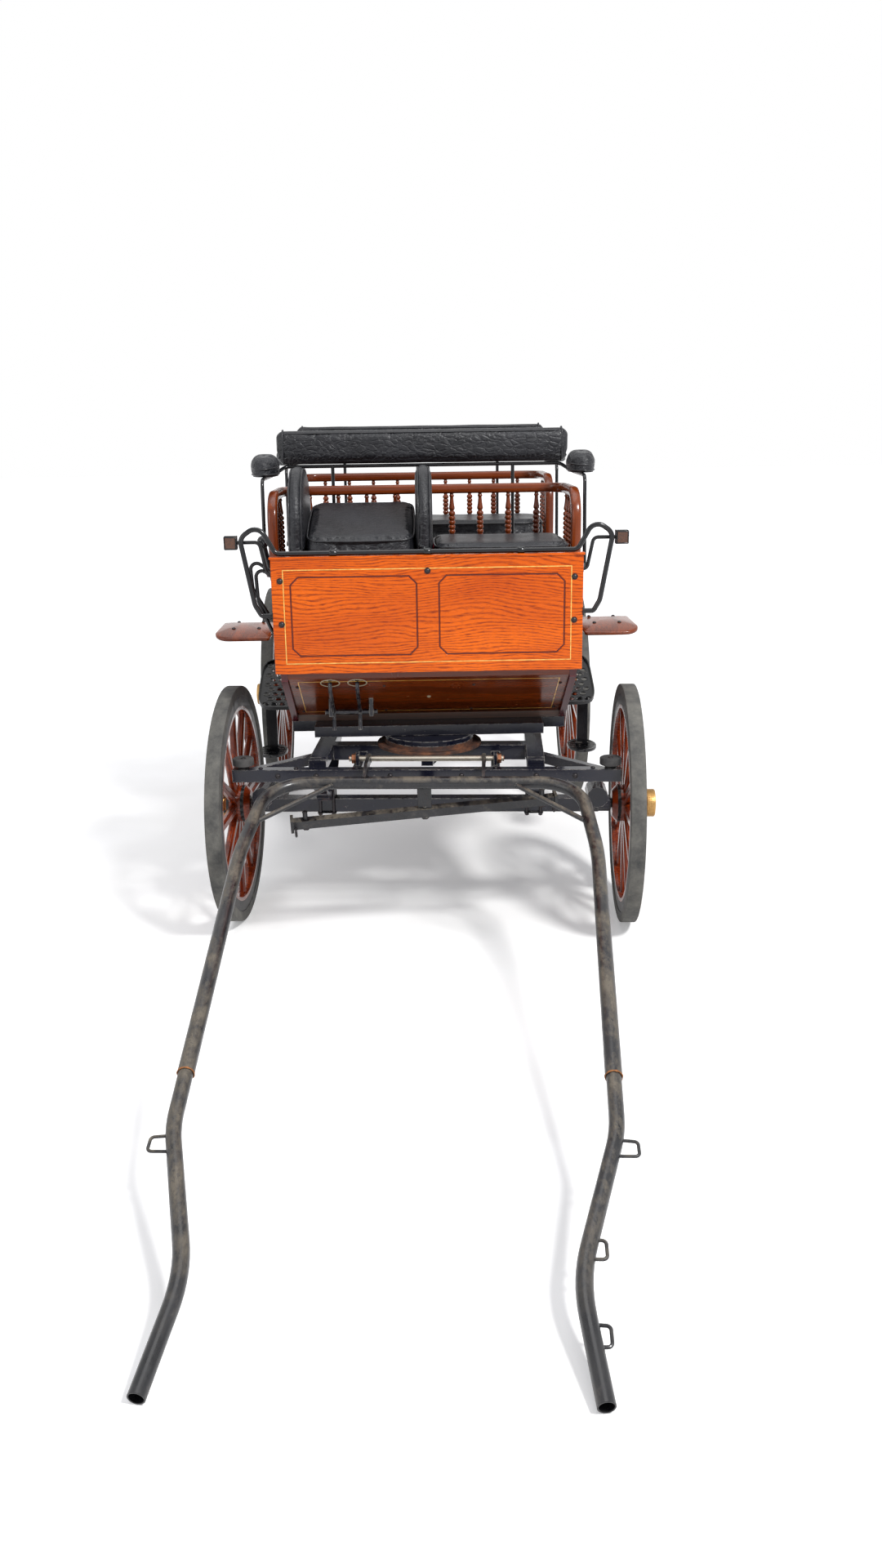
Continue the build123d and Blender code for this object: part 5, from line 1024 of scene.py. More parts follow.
def gallery(row, back, rise, made):
    """A mahogany rail bent round three sides of a seat, on turned spindles."""
    seat_top = SEAT_TOP + rise
    rail_z = seat_top + GALLERY_RISE
    post_y = SEAT_FRONT + back + 0.065
    back_y = SEAT_BACK + back - GALLERY_INSET
    route = [(GALLERY_X, post_y, seat_top), (GALLERY_X, post_y, rail_z), (GALLERY_X, back_y, rail_z),
             (-GALLERY_X, back_y, rail_z), (-GALLERY_X, post_y, rail_z), (-GALLERY_X, post_y, seat_top)]
    section = [tuple(math.copysign(abs(value) ** 0.62, value) for value in pair) for pair in circle(24)]
    rail = Stock()
    rail.tube(arc_points(route, [0.095, 0.08, 0.08, 0.095], 10), 0.0187, section=section)
    piece = rail.piece(row + "_gallery_rail", made["mahogany_x"], "body", "mahogany_varnish", 60)
    piece.data.materials.append(made["mahogany_y"])
    piece.data.materials.append(made["mahogany_z"])
    for face in piece.data.polygons:
        place = face.center
        if place.z < rail_z - 0.05:
            face.material_index = 2
        elif place.y < back_y - 0.045:
            face.material_index = 1
    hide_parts(row + "_gallery")
    height = rail_z - 0.014 - seat_top
    profile = spindle_profile(height)
    spindles = Stock()
    corner_y = back_y - 0.12
    pitch = (corner_y - post_y - 0.0475) / 3
    feet = [(index * 0.113, back_y) for index in range(-4, 5)]
    for index in range(3):
        feet += [(GALLERY_X, corner_y - index * pitch), (-GALLERY_X, corner_y - index * pitch)]
    for x, y in feet:
        spindles.lathe((x, y, seat_top - 0.0004), (0, 0, 1), profile, 18)
    spindles.piece(row + "_spindles", made["mahogany_z"], "body", "mahogany_varnish", 50)
    feet_plates = Stock()
    for side in (-1, 1):
        feet_plates.box((side * GALLERY_X - 0.024, post_y - 0.024, seat_top - 0.0003),
                        (side * GALLERY_X + 0.024, post_y + 0.024, seat_top + 0.008))
    bevelled(feet_plates.piece(row + "_post_feet", made["mahogany_x"], "body", "mahogany_varnish"), 0.003)


# Irons

def back_irons(made):
    """The round rods that carry the backs and the arm pads."""
    backs = Stock()
    arm = KINGPIN.y + 0.46
    bar = SEAT_BACK - GALLERY_INSET + 0.019 - 0.004 + 0.031
    for _, back, rise in ROWS:
        seat = SEAT_TOP + rise
        arm_z, bar_z = seat + 0.313, seat + 0.345
        for side in (-1, 1):
            route = [(side * IRON_X, arm + back - 0.03, seat - 0.016), (side * IRON_X, arm + back, arm_z),
                     (side * IRON_X, bar + back - 0.07, arm_z), (side * (IRON_X - 0.05), bar + back, bar_z),
                     (side * (IRON_X - 0.16), bar + back, bar_z)]
            backs.tube(arc_points(route, [0.03, 0.03, 0.03], 8), IRON_ROD, 16)
            foot = (side * 0.36, bar + back, seat)
            backs.tube([foot, (side * 0.36, bar + back, bar_z)], IRON_ROD, 16)
            backs.lathe(foot, (0, 0, 1), [(0, 0.016), (0.003, 0.016), (0.0045, 0.0085)], 20)
            backs.lathe((side * (IRON_X - 0.0085), arm + back - 0.0285, seat - 0.016), (side, 0, 0),
                        [(0, 0.0105), (0.0175, 0.0105), (0.0185, 0.008)], 16)
        backs.tube([(-IRON_X + 0.15, bar + back, bar_z), (IRON_X - 0.15, bar + back, bar_z)], IRON_ROD, 16)
    piece = backs.piece("bent_back_irons", made["black"], "body", "black_paint", 50)
    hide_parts("back_irons")


def rein_rail(made):
    """The bent rod over the dash that keeps the reins up."""
    rein = Stock()
    rail_z = 1.347
    rail_y = REIN_RAIL_Y
    half = ((0.482, rail_z, 0.026), (0.534, 1.44, 0.034), (0.594, 1.398, 0.034), (0.574, 1.286, 0.06),
            (0.556, 1.185, 0.045), (0.536, 1.15, 0.012), (0.5, 1.15, 0))
    left = [(x, rail_y, z) for x, z, _ in half]
    right = [(-x, y, z) for x, y, z in reversed(left)]
    bends = [bend for _, _, bend in half[:-1]]
    rein.tube(arc_points(right + left, bends[::-1] + bends, 8), 0.008, 18)
    for x in (-0.3, 0, 0.3):
        rein.lathe((x - 0.011, rail_y, rail_z), (1, 0, 0),
                   [(0, 0.0105), (0.001, 0.0115), (0.021, 0.0115), (0.022, 0.0105)], 20)
        rein.box((x - 0.009, rail_y - 0.006, 1.3375), (x + 0.009, rail_y + 0.006, rail_z))
    for side in (-1, 1):
        rein.lathe((side * 0.5, rail_y, 1.15), (side, 0, 0),
                   [(-0.001, 0.0165), (0.003, 0.0165), (0.0045, 0.0095)], 24)
    piece = rein.piece("bent_rein_rail", made["black"], "body", "black_paint", 50)
    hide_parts("rein_rail")


def lamp_brackets(made):
    """The bent rods that carry the lamps off the body's sides."""
    lamps = Stock()
    for side in (-1, 1):
        bends = ((0.486, 1.28), (0.516, 1.284), (0.536, 1.382), (0.6065, 1.382))
        route = [(side * x, LAMP_Y, z) for x, z in bends]
        lamps.tube(arc_points(route, [0.014, 0.018], 8), 0.006, 14)
        lamps.lathe((side * BODY_SIDE_X, LAMP_Y, 1.28), (side, 0, 0),
                    [(0, 0.014), (0.003, 0.014), (0.0045, 0.008)], 20)
    piece = lamps.piece("bent_lamp_brackets", made["black"], "body", "black_paint", 50)
    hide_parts("lamp_brackets")


def hand_brake(made):
    """The brake's lever and its round knob."""
    brake = Stock()
    pivot = BRAKE_PIVOT
    knob = Vector((-0.528, KINGPIN.y - 0.205, 1.38))
    brake.tube(arc_points([pivot, (pivot.x, KINGPIN.y - 0.13, 1.2), knob], [0.09], 10), 0.008, 16)
    brake.lathe((-0.484, pivot.y, pivot.z), (-1, 0, 0), [(0, 0.0165), (0.024, 0.0165), (0.0255, 0.015)], 28)
    brake.bolt((-0.5095, pivot.y, pivot.z), (-1, 0, 0), 0.008, 0.003, dome=False)
    piece = brake.piece("hand_brake_lever", made["black"], "body", "black_paint", 40)
    ball = Stock()
    profile = [(0.02 * (1 - math.cos(lift)), 0.0198 * math.sin(lift)) for lift in
               (math.radians(4 + 172 * step / 20) for step in range(21))]
    ball.lathe(knob - Vector((0, 0, 0.02)), (0, 0, 1), profile, 32)
    ball.lathe(knob - Vector((0, 0, 0.0225)), (0, 0, 1), [(0, 0.0095), (0.004, 0.011), (0.006, 0.0095)], 20)
    ball.piece("brake_knob", made["knob"], "body", "black_paint", 50)
    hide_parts("brake_lever")


def brake_guard(made):
    """The notched quadrant beside the lever, and the bent rods that guard it."""
    pivot = BRAKE_PIVOT
    side_x = -BODY_SIDE_X
    guard = Stock()
    outer, inner = [], []
    for step in range(41):
        turn = math.radians(70 + 80 * step / 40)
        depth = 0.146 if step % 4 == 2 else 0.15
        outer.append((side_x, pivot.y + depth * math.cos(turn), pivot.z + depth * math.sin(turn)))
        inner.append((side_x, pivot.y + 0.128 * math.cos(turn), pivot.z + 0.128 * math.sin(turn)))
    thick = Vector((-0.006, 0, 0))
    guard.rings([[a, b, Vector(b) + thick, Vector(a) + thick] for a, b in zip(outer, inner)])
    guard_y = REIN_RAIL_Y + 0.046
    for inset, low in ((0, 1.19), (0.016, 1.15)):
        route = [(side_x, guard_y, 1.29 - inset), (-0.509, guard_y, 1.29 - inset),
                 (-0.572 + inset, guard_y, 1.334 - inset), (-0.566 + inset, guard_y, low + 0.04),
                 (-0.509, guard_y, low - 0.06), (side_x, guard_y, low - 0.06)]
        guard.tube(arc_points(route, [0.012, 0.02, 0.06, 0.012], 8), 0.006, 14)
    for degrees in (78, 142):
        turn = math.radians(degrees)
        place = (-0.491, pivot.y + 0.139 * math.cos(turn), pivot.z + 0.139 * math.sin(turn))
        guard.bolt(place, (-1, 0, 0), 0.005, 0.003)
    piece = guard.piece("brake_guard", made["black"], "body", "black_paint", 40)
    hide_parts("brake_quadrant")


def rectangle(centre, across, up, half_width, half_height, corner=0.0):
    """The corners of a rectangle, cut or square, as points in a plane."""
    if not corner:
        signs = ((-1, -1), (1, -1), (1, 1), (-1, 1))
        return [centre + across * half_width * a + up * half_height * b for a, b in signs]
    points = []
    for a, b in ((-1, -1), (1, -1), (1, 1), (-1, 1)):
        first = centre + across * a * half_width + up * b * (half_height - corner)
        second = centre + across * a * (half_width - corner) + up * b * half_height
        points += [first, second] if a * b > 0 else [second, first]
    return points


# Fittings of the dash, toe board, tail and lamps

ACROSS, UP, AHEAD = Vector((1, 0, 0)), Vector((0, 0, 1)), Vector((0, -1, 0))
PANEL_MIDDLE_Z = 1.145
TOE_RUN = Vector((0, -math.cos(TOE_SLOPE), math.sin(TOE_SLOPE)))
TOE_UNDER = Vector((0, -math.sin(TOE_SLOPE), -math.cos(TOE_SLOPE)))
TOE_FOOT = Vector((0, KINGPIN.y + 0.0361, TOE_FOOT_Z))
TOE_HEAD = Vector((0, KINGPIN.y - 0.265, 0.9388))


def gold_lines(made):
    """Painted lines on the dash, the tail and the toe board's underside."""
    across, up, ahead = ACROSS, UP, AHEAD
    middle = Vector((0, DASH_FACE, PANEL_MIDDLE_Z))
    gold = Stock()
    gold.strip(rectangle(middle, across, up, 0.462, 0.151), ahead, 0.003, 0.0004, closed=True)
    tail = Vector((0, TAIL_FACE, 0.984))
    gold.strip(rectangle(tail, across, up, 0.425, 0.218), -ahead, 0.004, 0.0004, closed=True)
    gold.strip(rectangle(tail, across, up, 0.405, 0.198, 0.03), -ahead, 0.0022, 0.0004, closed=True)
    half_height = (TOE_HEAD - TOE_FOOT).length / 2 - 0.03
    gold.strip(rectangle((TOE_FOOT + TOE_HEAD) / 2, across, TOE_RUN, 0.433, half_height), TOE_UNDER,
               0.003, 0.0004, closed=True)
    gold.piece("gold_lines", made["gold"], "body", "orange_varnish")


def dash_bolts(made):
    """Dome bolts on the dash, the toe board and the tail."""
    bolts = Stock()
    for x, z in ((-0.472, 1.262), (0.472, 1.262), (-0.472, 1.123), (0.472, 1.123), (0, 1.288)):
        bolts.bolt((x, DASH_FACE, z), (0, -1, 0), 0.0088, 0.006)
    for x in (-0.44, -0.15, 0.15, 0.44):
        for y in (0.02, 0.26):
            place = TOE_FOOT + TOE_RUN * (0.02 + y) + ACROSS * x
            bolts.bolt(place, TOE_UNDER, 0.005, 0.003)
    for x in (-0.42, 0.42):
        for z in (0.76, 1.2):
            bolts.bolt((x, TAIL_FACE, z), (0, 1, 0), 0.007, 0.004)
    bolts.piece("dash_bolts", made["bolt"], "body", "black_paint")


def pedal_hole_rims(made):
    """Rings round the pedals' holes, on both faces of the toe board, painted pale in place of their chrome's
    reflection so they stay bright in shade.
    """
    rims = Stock()
    for x in PEDALS_X:
        top = Vector((x, PEDAL_Y, PEDAL_Z))
        for depth in (0.0184, -0.0004):
            rims.hoop(top + TOE_UNDER * depth, TOE_UNDER, 0.0312, 0.0022, 0, 0.7)
    rims.bolt(TOE_FOOT + TOE_RUN * 0.17, TOE_UNDER, 0.006, 0.003)
    rims.piece("pedal_hole_rims", made["pale"], "body", "bright_steel")


def groove_shade(made):
    """Painted shade: dark strips along the bottoms of the two routed grooves of the dash."""
    shade = Stock()
    for x in (-0.238, 0.238):
        centre = Vector((x, DASH_FACE + 0.003, PANEL_MIDDLE_Z))
        shade.strip(rectangle(centre, ACROSS, UP, 0.202, 0.127, 0.0248), AHEAD, 0.0054, 0.0003, closed=True)
    shade.piece("groove_shade", made["shade"], "body", "orange_varnish")


def pedal_pads(made):
    """Rubber ribs across the pedals."""
    pads = Stock()
    for x in PEDALS_X:
        centre = Vector((x, PEDAL_Y + 0.058, PEDAL_Z + 0.08))
        tilt = math.radians(40)
        lift = Vector((0, -math.sin(tilt), math.cos(tilt)))
        run = Vector((0, math.cos(tilt), math.sin(tilt)))
        for row in range(6):
            start = centre + lift * 0.005 + run * (-0.036 + row * 0.0135)
            corners = [start + ACROSS * 0.029 * a + run * 0.006 * b
                       for a, b in ((-1, 0), (1, 0), (1, 1), (-1, 1))]
            pads.plate(corners, lift * 0.003)
    piece = pads.piece("pedal_pads", made["block"], "body", "block_rubber")
    bevelled(piece, 0.0012, 2)


def lamp_bezels(made):
    """A narrow black frame round each lens."""
    bezels = Stock()
    face = LAMP_Y - 0.014 - 0.008
    front, rear = face - 0.0012, face + 0.009
    low, high = 1.3635, 1.4005
    half = 0.0016
    for side in (-1, 1):
        middle = side * LAMP_X
        for x in (middle + 0.0185, middle - 0.0185):
            bezels.box((x - half, front, low), (x + half, rear, high))
        for z in (low, high):
            bezels.box((middle - 0.02, front, z - half), (middle + 0.02, rear, z + half))
    bevelled(bezels.piece("lamp_bezels", made["black"], "body", "black_paint"), 0.0008, 2)


def side_lines(made):
    """Gold lines that follow the body sides, a little in from their edges."""
    # Columns: distance behind the front axle, height, corner radius
    fore = ((0.06, 0.775, 0), (-0.235, 0.955, 0), (-0.235, 1.26, 0.01), (-0.2, 1.26, 0.03),
            (-0.1, 1.02, 0.11), (0.38, 1.02, 0.05), (0.405, 1.17, 0.02), (0.8, 1.17, 0.02),
            (0.835, 0.785, 0.09))
    rear = ((1.27, 0.785, 0.09), (1.355, 1.21, 0.02), (1.73, 1.21, 0.02), (1.73, 0.775, 0.03))
    gold = Stock()
    for side in (-1, 1):
        for table in (fore, rear):
            points = [(side * BODY_SIDE_X, KINGPIN.y + y, z) for y, z, _ in table]
            route = arc_points(points + points[:2], [bend or 0.004 for _, _, bend in table[1:]] + [0.004], 6)
            gold.strip(route[1:-1], (side, 0, 0), 0.003, 0.0004)
    gold.piece("side_gold_lines", made["gold"], "body", "wine_red_paint")


# Fenders and steps

def fender(made):
    """Arched boards over the front wheels, with rounded corners and bolts."""
    stock = Stock()
    bolts = Stock()
    arch_radius = 0.52
    centre_y, centre_z = KINGPIN.y + 0.225, 1.049 - arch_radius

    def on_arch(x, along, depth):
        turn = along / arch_radius
        radius = arch_radius - depth
        return Vector((x, centre_y + radius * math.sin(turn), centre_z + radius * math.cos(turn)))

    for side in (-1, 1):
        outline = []
        for a, b, start in ((1, 1, 0), (-1, 1, 90), (-1, -1, 180), (1, -1, 270)):
            corner = 0.05 if a > 0 else 0.012
            for step in range(7):
                turn = math.radians(start + step * 15)
                outline.append(((0.0975 - corner) * a + corner * math.cos(turn),
                                (0.165 - corner) * b + corner * math.sin(turn)))
        rings = []
        for scale, depth in ((0.25, 0), (0.6, 0), (0.93, 0), (0.985, 0.0006), (1.0, 0.003), (1.0, 0.011),
                             (0.985, 0.0134), (0.93, 0.014), (0.6, 0.014), (0.25, 0.014)):
            rings.append([on_arch(side * (0.6525 + a * scale), b * scale, depth) for a, b in outline])
        stock.rings(rings)
        for distance in (0.09, 0.24):
            for x in (0.6, 0.69):
                along = distance + 0.06 - 0.225
                place = on_arch(side * x, along, 0)
                bolts.bolt(place, place - Vector((place.x, centre_y, centre_z)), 0.006, 0.0035)
                under = on_arch(side * x, along, 0.022)
                bolts.bolt(under, (0, 0, -1), 0.006, 0.004, dome=False)
    piece = stock.piece("arched_fenders", made["mahogany_y"], "body", "mahogany_varnish", 50)
    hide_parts("fender_boards")
    bolts.piece("fender_bolts", made["bolt"], "body", "black_paint")


def rounded_outline(half_x, half_y, corner, count, phase=0.0):
    """Points round a rounded rectangle, spaced by angle."""
    points = []
    power = 2 * min(half_x, half_y) / corner
    for a, b in circle(count, phase):
        radius = (abs(a / half_x) ** power + abs(b / half_y) ** power) ** (-1 / power)
        points.append((a * radius, b * radius))
    return points


def upper_step(stock, side):
    """A perforated plate in a raised rim, and the cheek that carries it."""
    plate = 0.005
    slope = math.atan2(0.14, 0.31)
    length = 0.31 / math.cos(slope)
    origin = Vector((side * 0.589, KINGPIN.y + 0.815, 0.7))
    run = Vector((0, math.cos(slope), math.sin(slope)))
    up = Vector((0, -math.sin(slope), math.cos(slope)))
    across = Vector((side, 0, 0))

    def at(a, b, c=0.0):
        return origin + across * a + run * b + up * c

    columns, rows, pitch = 5, 9, 0.0335
    half_x, half_y = columns * pitch / 2, rows * pitch / 2
    for row in range(rows):
        shift = 0.5 * (row % 2)
        low_y = -half_y + row * pitch
        for end in (-1, 1):
            if shift:
                far, near = end * half_x, end * (half_x - pitch / 2)
                blank = [(far, low_y), (near, low_y), (near, low_y + pitch), (far, low_y + pitch)]
                stock.rings([[at(*point, level) for point in blank] for level in (plate, 0.0)])
        for column in range(columns - row % 2):
            middle = (-half_x + (column + 0.5 + shift) * pitch, -half_y + (row + 0.5) * pitch)
            hole, square = [], []
            for a, b in circle(16):
                hole.append((middle[0] + 0.0122 * a, middle[1] + 0.0122 * b))
                reach = pitch / 2 / max(abs(a), abs(b))
                square.append((middle[0] + reach * a, middle[1] + reach * b))
            rings = [[at(*point, level) for point in outline] for outline, level in
                     ((square, plate), (hole, plate), (hole, 0.0), (square, 0.0))]
            stock.rings(rings, caps=False)
            stock.hoop(at(*middle, 0.0052), up, 0.0129, 0.001)
    outer = rounded_outline(0.1, length / 2, 0.045, 64)
    inner = []
    for a, b in outer:
        reach = min(half_x / max(abs(a), 1e-6), half_y / max(abs(b), 1e-6), 1)
        inner.append((a * reach, b * reach))
    lip = rounded_outline(0.0955, length / 2 - 0.0045, 0.041, 64)
    rings = [[at(*point, level) for point in outline] for outline, level in
             ((inner, plate), (lip, plate), (lip, 0.0155), (outer, 0.016), (outer, 0.0), (inner, 0.0))]
    stock.rings(rings, caps=False)
    cheek = ((0.705, 0.65), (0.93, 0.752), (0.93, 0.79), (0.915, 0.81), (0.8, 0.81), (0.775, 0.8),
             (0.705, 0.71))
    stock.plate([(side * BODY_SIDE_X, KINGPIN.y + y, z) for y, z in cheek], (side * 0.008, 0, 0))
    for y, z in ((0.73, 0.71), (0.82, 0.79), (0.9, 0.79)):
        stock.bolt((side * 0.493, KINGPIN.y + y, z), (side, 0, 0), 0.007, 0.004)


def lower_step(stock, side):
    """A slotted oval plate at the foot of its hanger."""
    hang_y = KINGPIN.y + 0.72
    hang_x = side * 0.638
    stock.box((hang_x - 0.022, hang_y - 0.005, 0.45), (hang_x + 0.022, hang_y + 0.005, 0.6585))
    stock.box((hang_x - 0.026, hang_y - 0.009, 0.45), (hang_x + 0.026, hang_y + 0.009, 0.458))
    for z in (0.63, 0.645):
        stock.bolt((hang_x, hang_y - 0.005, z), (0, -1, 0), 0.006, 0.003)
    oval = [(0.06 * a, 0.095 * b) for a, b in circle(64)]
    ring = []
    for scale, z in ((0.86, 0.438), (0.98, 0.438), (1.0, 0.440), (1.0, 0.448), (0.98, 0.45), (0.88, 0.45),
                     (0.86, 0.448)):
        ring.append([(hang_x + a * scale, hang_y + b * scale, z) for a, b in oval])
    stock.rings(ring, closed=True)
    for index in range(-3, 4):
        y = index * 0.0225
        half = 0.056 * math.sqrt(1 - (y / 0.088) ** 2)
        stock.box((hang_x - half, hang_y + y - 0.0052, 0.4385), (hang_x + half, hang_y + y + 0.0052, 0.4485))
    stock.box((hang_x - 0.012, hang_y - 0.084, 0.438), (hang_x + 0.012, hang_y + 0.084, 0.4455))


def steps(made):
    """The upper and lower steps of both sides."""
    stock = Stock()
    for side in (-1, 1):
        upper_step(stock, side)
        lower_step(stock, side)
    piece = stock.piece("pierced_steps", made["black"], "body", "black_paint", 35)
    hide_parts("side_steps")


def chassis_fittings(made):
    """Bolts along the chassis and under the seats."""
    bolts = Stock()
    for side in (-1, 1):
        for y in (0.02, 0.45, 0.92, 1.37, 1.72):
            bolts.bolt((side * 0.4, KINGPIN.y + y, 0.709), (side, 0, 0), 0.0075, 0.004)
        for y in (0.2, 0.52, 0.98, 1.36):
            bolts.bolt((side * BODY_SIDE_X, KINGPIN.y + y, 0.742), (side, 0, 0), 0.006, 0.003)
    bolts.bolt((0, KINGPIN.y, 0.5797), (0, 0, -1), 0.016, 0.006, dome=False)
    bolts.piece("chassis_bolts", made["bolt"], "body", "black_paint")


# Upholstery

PAD_TOP = SEAT_TOP + 0.078
LAZYBACK_HALF = 0.577
CORD = 0.0033
CLOTH = {"quality": 4, "mass": 0.25, "tension_stiffness": 12, "compression_stiffness": 5,
         "shear_stiffness": 4, "bending_stiffness": 0.15, "shrink_min": -0.035, "use_pressure": True,
         "uniform_pressure_force": 4, "vertex_group_mass": "pins"}


def padded_mesh(name, rings, material, puff, replaced):
    """A closed cushion from rings of points, filled out by a cloth simulation."""
    stock = Stock()
    stock.rings(rings)
    piece = stock.piece(name, material, "body", "black_leather", 180)
    inflate(piece, puff)
    if replaced:
        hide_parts(replaced)


def piped(stock, name, made):
    """A cushion's cords, joined into one piece."""
    cord = stock.piece(name + "_piping", made["piping"], "body", "black_leather", 180)


def inflate(piece, cap):
    """Presses a copy of a cushion outward as cloth and keeps the motion within a cap."""
    source = piece.data
    edit = bmesh.new()
    edit.from_mesh(source)
    bmesh.ops.triangulate(edit, faces=[face for face in edit.faces if len(face.verts) > 4])
    copy = bpy.data.meshes.new(piece.name + "_cloth")
    edit.to_mesh(copy)
    edit.free()
    body = add_object(piece.name + "_cloth", copy)
    bpy.context.view_layer.objects.active = body
    remesh = body.modifiers.new("remesh", "REMESH")
    remesh.mode = "VOXEL"
    remesh.voxel_size = 0.0065
    depsgraph = bpy.context.evaluated_depsgraph_get()
    fine = bpy.data.meshes.new_from_object(body.evaluated_get(depsgraph))
    body.modifiers.remove(remesh)
    body.data = fine
    start = [vert.co.copy() for vert in fine.vertices]
    low = min(vert.z for vert in start)
    high = max(vert.z for vert in start)
    pins = body.vertex_groups.new(name="pins")
    for index, vert in enumerate(start):
        if vert.z < low + 0.15 * (high - low):
            pins.add([index], 1.0, "REPLACE")
    cloth = body.modifiers.new("cloth", "CLOTH")
    for word, value in CLOTH.items():
        setattr(cloth.settings, word, value)
    cloth.settings.effector_weights.gravity = 0
    cloth.collision_settings.use_self_collision = False
    scene = bpy.context.scene
    for number in range(1, 19):
        scene.frame_set(number)
    depsgraph = bpy.context.evaluated_depsgraph_get()
    pressed = bpy.data.meshes.new_from_object(body.evaluated_get(depsgraph))
    scene.frame_set(1)
    if len(pressed.vertices) == len(start):
        for vert, was in zip(pressed.vertices, start):
            moved = vert.co - was
            if moved.length > cap:
                moved *= cap / moved.length
            vert.co = was + moved
        materials = list(source.materials)
        pressed.materials.clear()
        for material in materials:
            pressed.materials.append(material)
        for face in pressed.polygons:
            face.material_index = 0
        piece.data = pressed
    bpy.data.objects.remove(body)


def soft_box(low, high, crown, sag, front_low):
    """Rings of a boxed cushion: straight border, seams pulled in, crowned top with sat-in hollows."""
    x0, y0, z0 = low
    x1, y1, z1 = high
    centre_x, centre_y = (x0 + x1) / 2, (y0 + y1) / 2
    half_x, half_y = (x1 - x0) / 2, (y1 - y0) / 2
    outline = rounded_outline(half_x, half_y, 0.045, 96, 0.5)

    def top_of(y):
        if front_low is None:
            return z1
        share = (y - y0) / (y1 - y0)
        return z0 + front_low + (z1 - z0 - front_low) * share

    def ring(scale, lift, level):
        points = []
        for a, b in outline:
            inset = min(half_x, half_y) * (1 - scale)
            # The sides draw in between the corners
            pull = 0.004 * (1 - abs(abs(a) / half_x - abs(b) / half_y)) if scale > 0.97 else 0
            x = centre_x + a * (half_x - inset) / half_x * (1 - pull / half_x)
            y = centre_y + b * (half_y - inset) / half_y * (1 - pull / half_y)
            z = z0 + (top_of(y) - z0) * level + lift
            if level == 1:
                for hollow_x, hollow_y, radius, depth in sag:
                    gap = math.hypot(x - hollow_x, y - hollow_y) / radius
                    z -= depth * math.exp(-gap * gap)
                z += 0.0022 * noise.noise(Vector((x * 9, y * 9, z0 * 3))) * (1 - scale)
            points.append((x, y, z))
        return points

    rings = [ring(0.3, 0.0, 0), ring(0.9, 0.0, 0), ring(0.975, 0.001, 0), ring(0.99, 0.004, 0)]
    rings += [ring(0.978, 0.0, 0.2), ring(0.985, 0.0, 0.5), ring(0.978, 0.0, 0.8)]
    rings += [ring(0.99, -crown - 0.004, 1), ring(0.985, -crown, 1), ring(0.955, -crown * 0.62, 1)]
    for scale, share in ((0.9, 0.35), (0.8, 0.16), (0.65, 0.06), (0.5, 0.02), (0.35, 0), (0.2, 0), (0.06, 0)):
        rings.append(ring(scale, -crown * share, 1))
    return rings


def boxed_cushion(name, node, low, high, made, crown=0.012, sag=(), front_low=None):
    """A seat cushion with a boxed border, piped along its two seams."""
    rings = soft_box(low, high, crown, sag, front_low)
    padded_mesh(name, rings, made["leather"], 0.006, node)
    piping = Stock()
    for ring in (rings[3], rings[8]):
        centre = sum((Vector(point) for point in ring), Vector()) / len(ring)
        points = []
        for point in ring:
            out = Vector(point) - centre
            out.z = 0
            points.append(Vector(point) + out.normalized() * 0.0002)
        piping.tube(points, 0.0036, 8, closed=True)
    piped(piping, name, made)


def pad_rings(x0, x1, profile_of, ends, steps):
    """Rings across a long pad lying along X; its section shrinks to a seam at each end."""
    rings = []
    for index in range(steps + 1):
        share = index / steps
        x = x0 + (x1 - x0) * share
        gap = min(x - x0, x1 - x)
        size = 1.0 if gap >= ends else math.sqrt(max(0.0, 1 - (1 - gap / ends) ** 2)) * 0.5 + 0.5
        rings.append([(x, y, z) for y, z in profile_of(size, share)])
    return rings


def lazyback(name, back, rise, made, replaced):
    """A long padded back rail of leather, creased and seamed at its ends."""
    low_z = SEAT_TOP + rise + 0.3523
    centre_y, centre_z = KINGPIN.y + 0.861 + back, low_z + 0.0675
    half_y, half_z = 0.0305, 0.0665
    flat_y, flat_z = 0.75, 0.62
    ends = 0.035

    def profile(size, share):
        points = []
        for a, b in circle(28):
            a = math.copysign(abs(a) ** flat_y, a)
            b = math.copysign(abs(b) ** flat_z, b)
            wave = 1 + 0.05 * noise.noise(Vector((share * 14, a * 1.2, b * 1.2 + back)))
            sway = 1 + 0.018 * noise.noise(Vector((share * 9, a, back + 3)))
            points.append((centre_y + half_y * a * size * wave,
                           centre_z + half_z * b * (0.4 + 0.6 * size) * sway))
        return points

    rings = pad_rings(-LAZYBACK_HALF, LAZYBACK_HALF, profile, ends, 72)
    padded_mesh(name, rings, made["creased"], 0.004, replaced)
    piping = Stock()
    for x in (-0.553, 0.553):
        gap = LAZYBACK_HALF - abs(x)
        size = math.sqrt(1 - (1 - gap / ends) ** 2) * 0.5 + 0.5
        ring = profile(size, (x + LAZYBACK_HALF) / (2 * LAZYBACK_HALF))
        piping.tube([(x, y, z) for y, z in ring], 0.0034, 8, closed=True)
    seam_z = 0.052
    turn = math.asin((seam_z / half_z) ** (1 / flat_z))
    seam_y = half_y * abs(math.cos(turn)) ** flat_y + 0.0006
    for side in (-1, 1):
        shares = (0.03 + 0.94 * step / 59 for step in range(60))
        line = [(LAZYBACK_HALF * (2 * share - 1), centre_y + side * seam_y, centre_z + seam_z)
                for share in shares]
        piping.tube(line, 0.0026, 6)
    piped(piping, name, made)


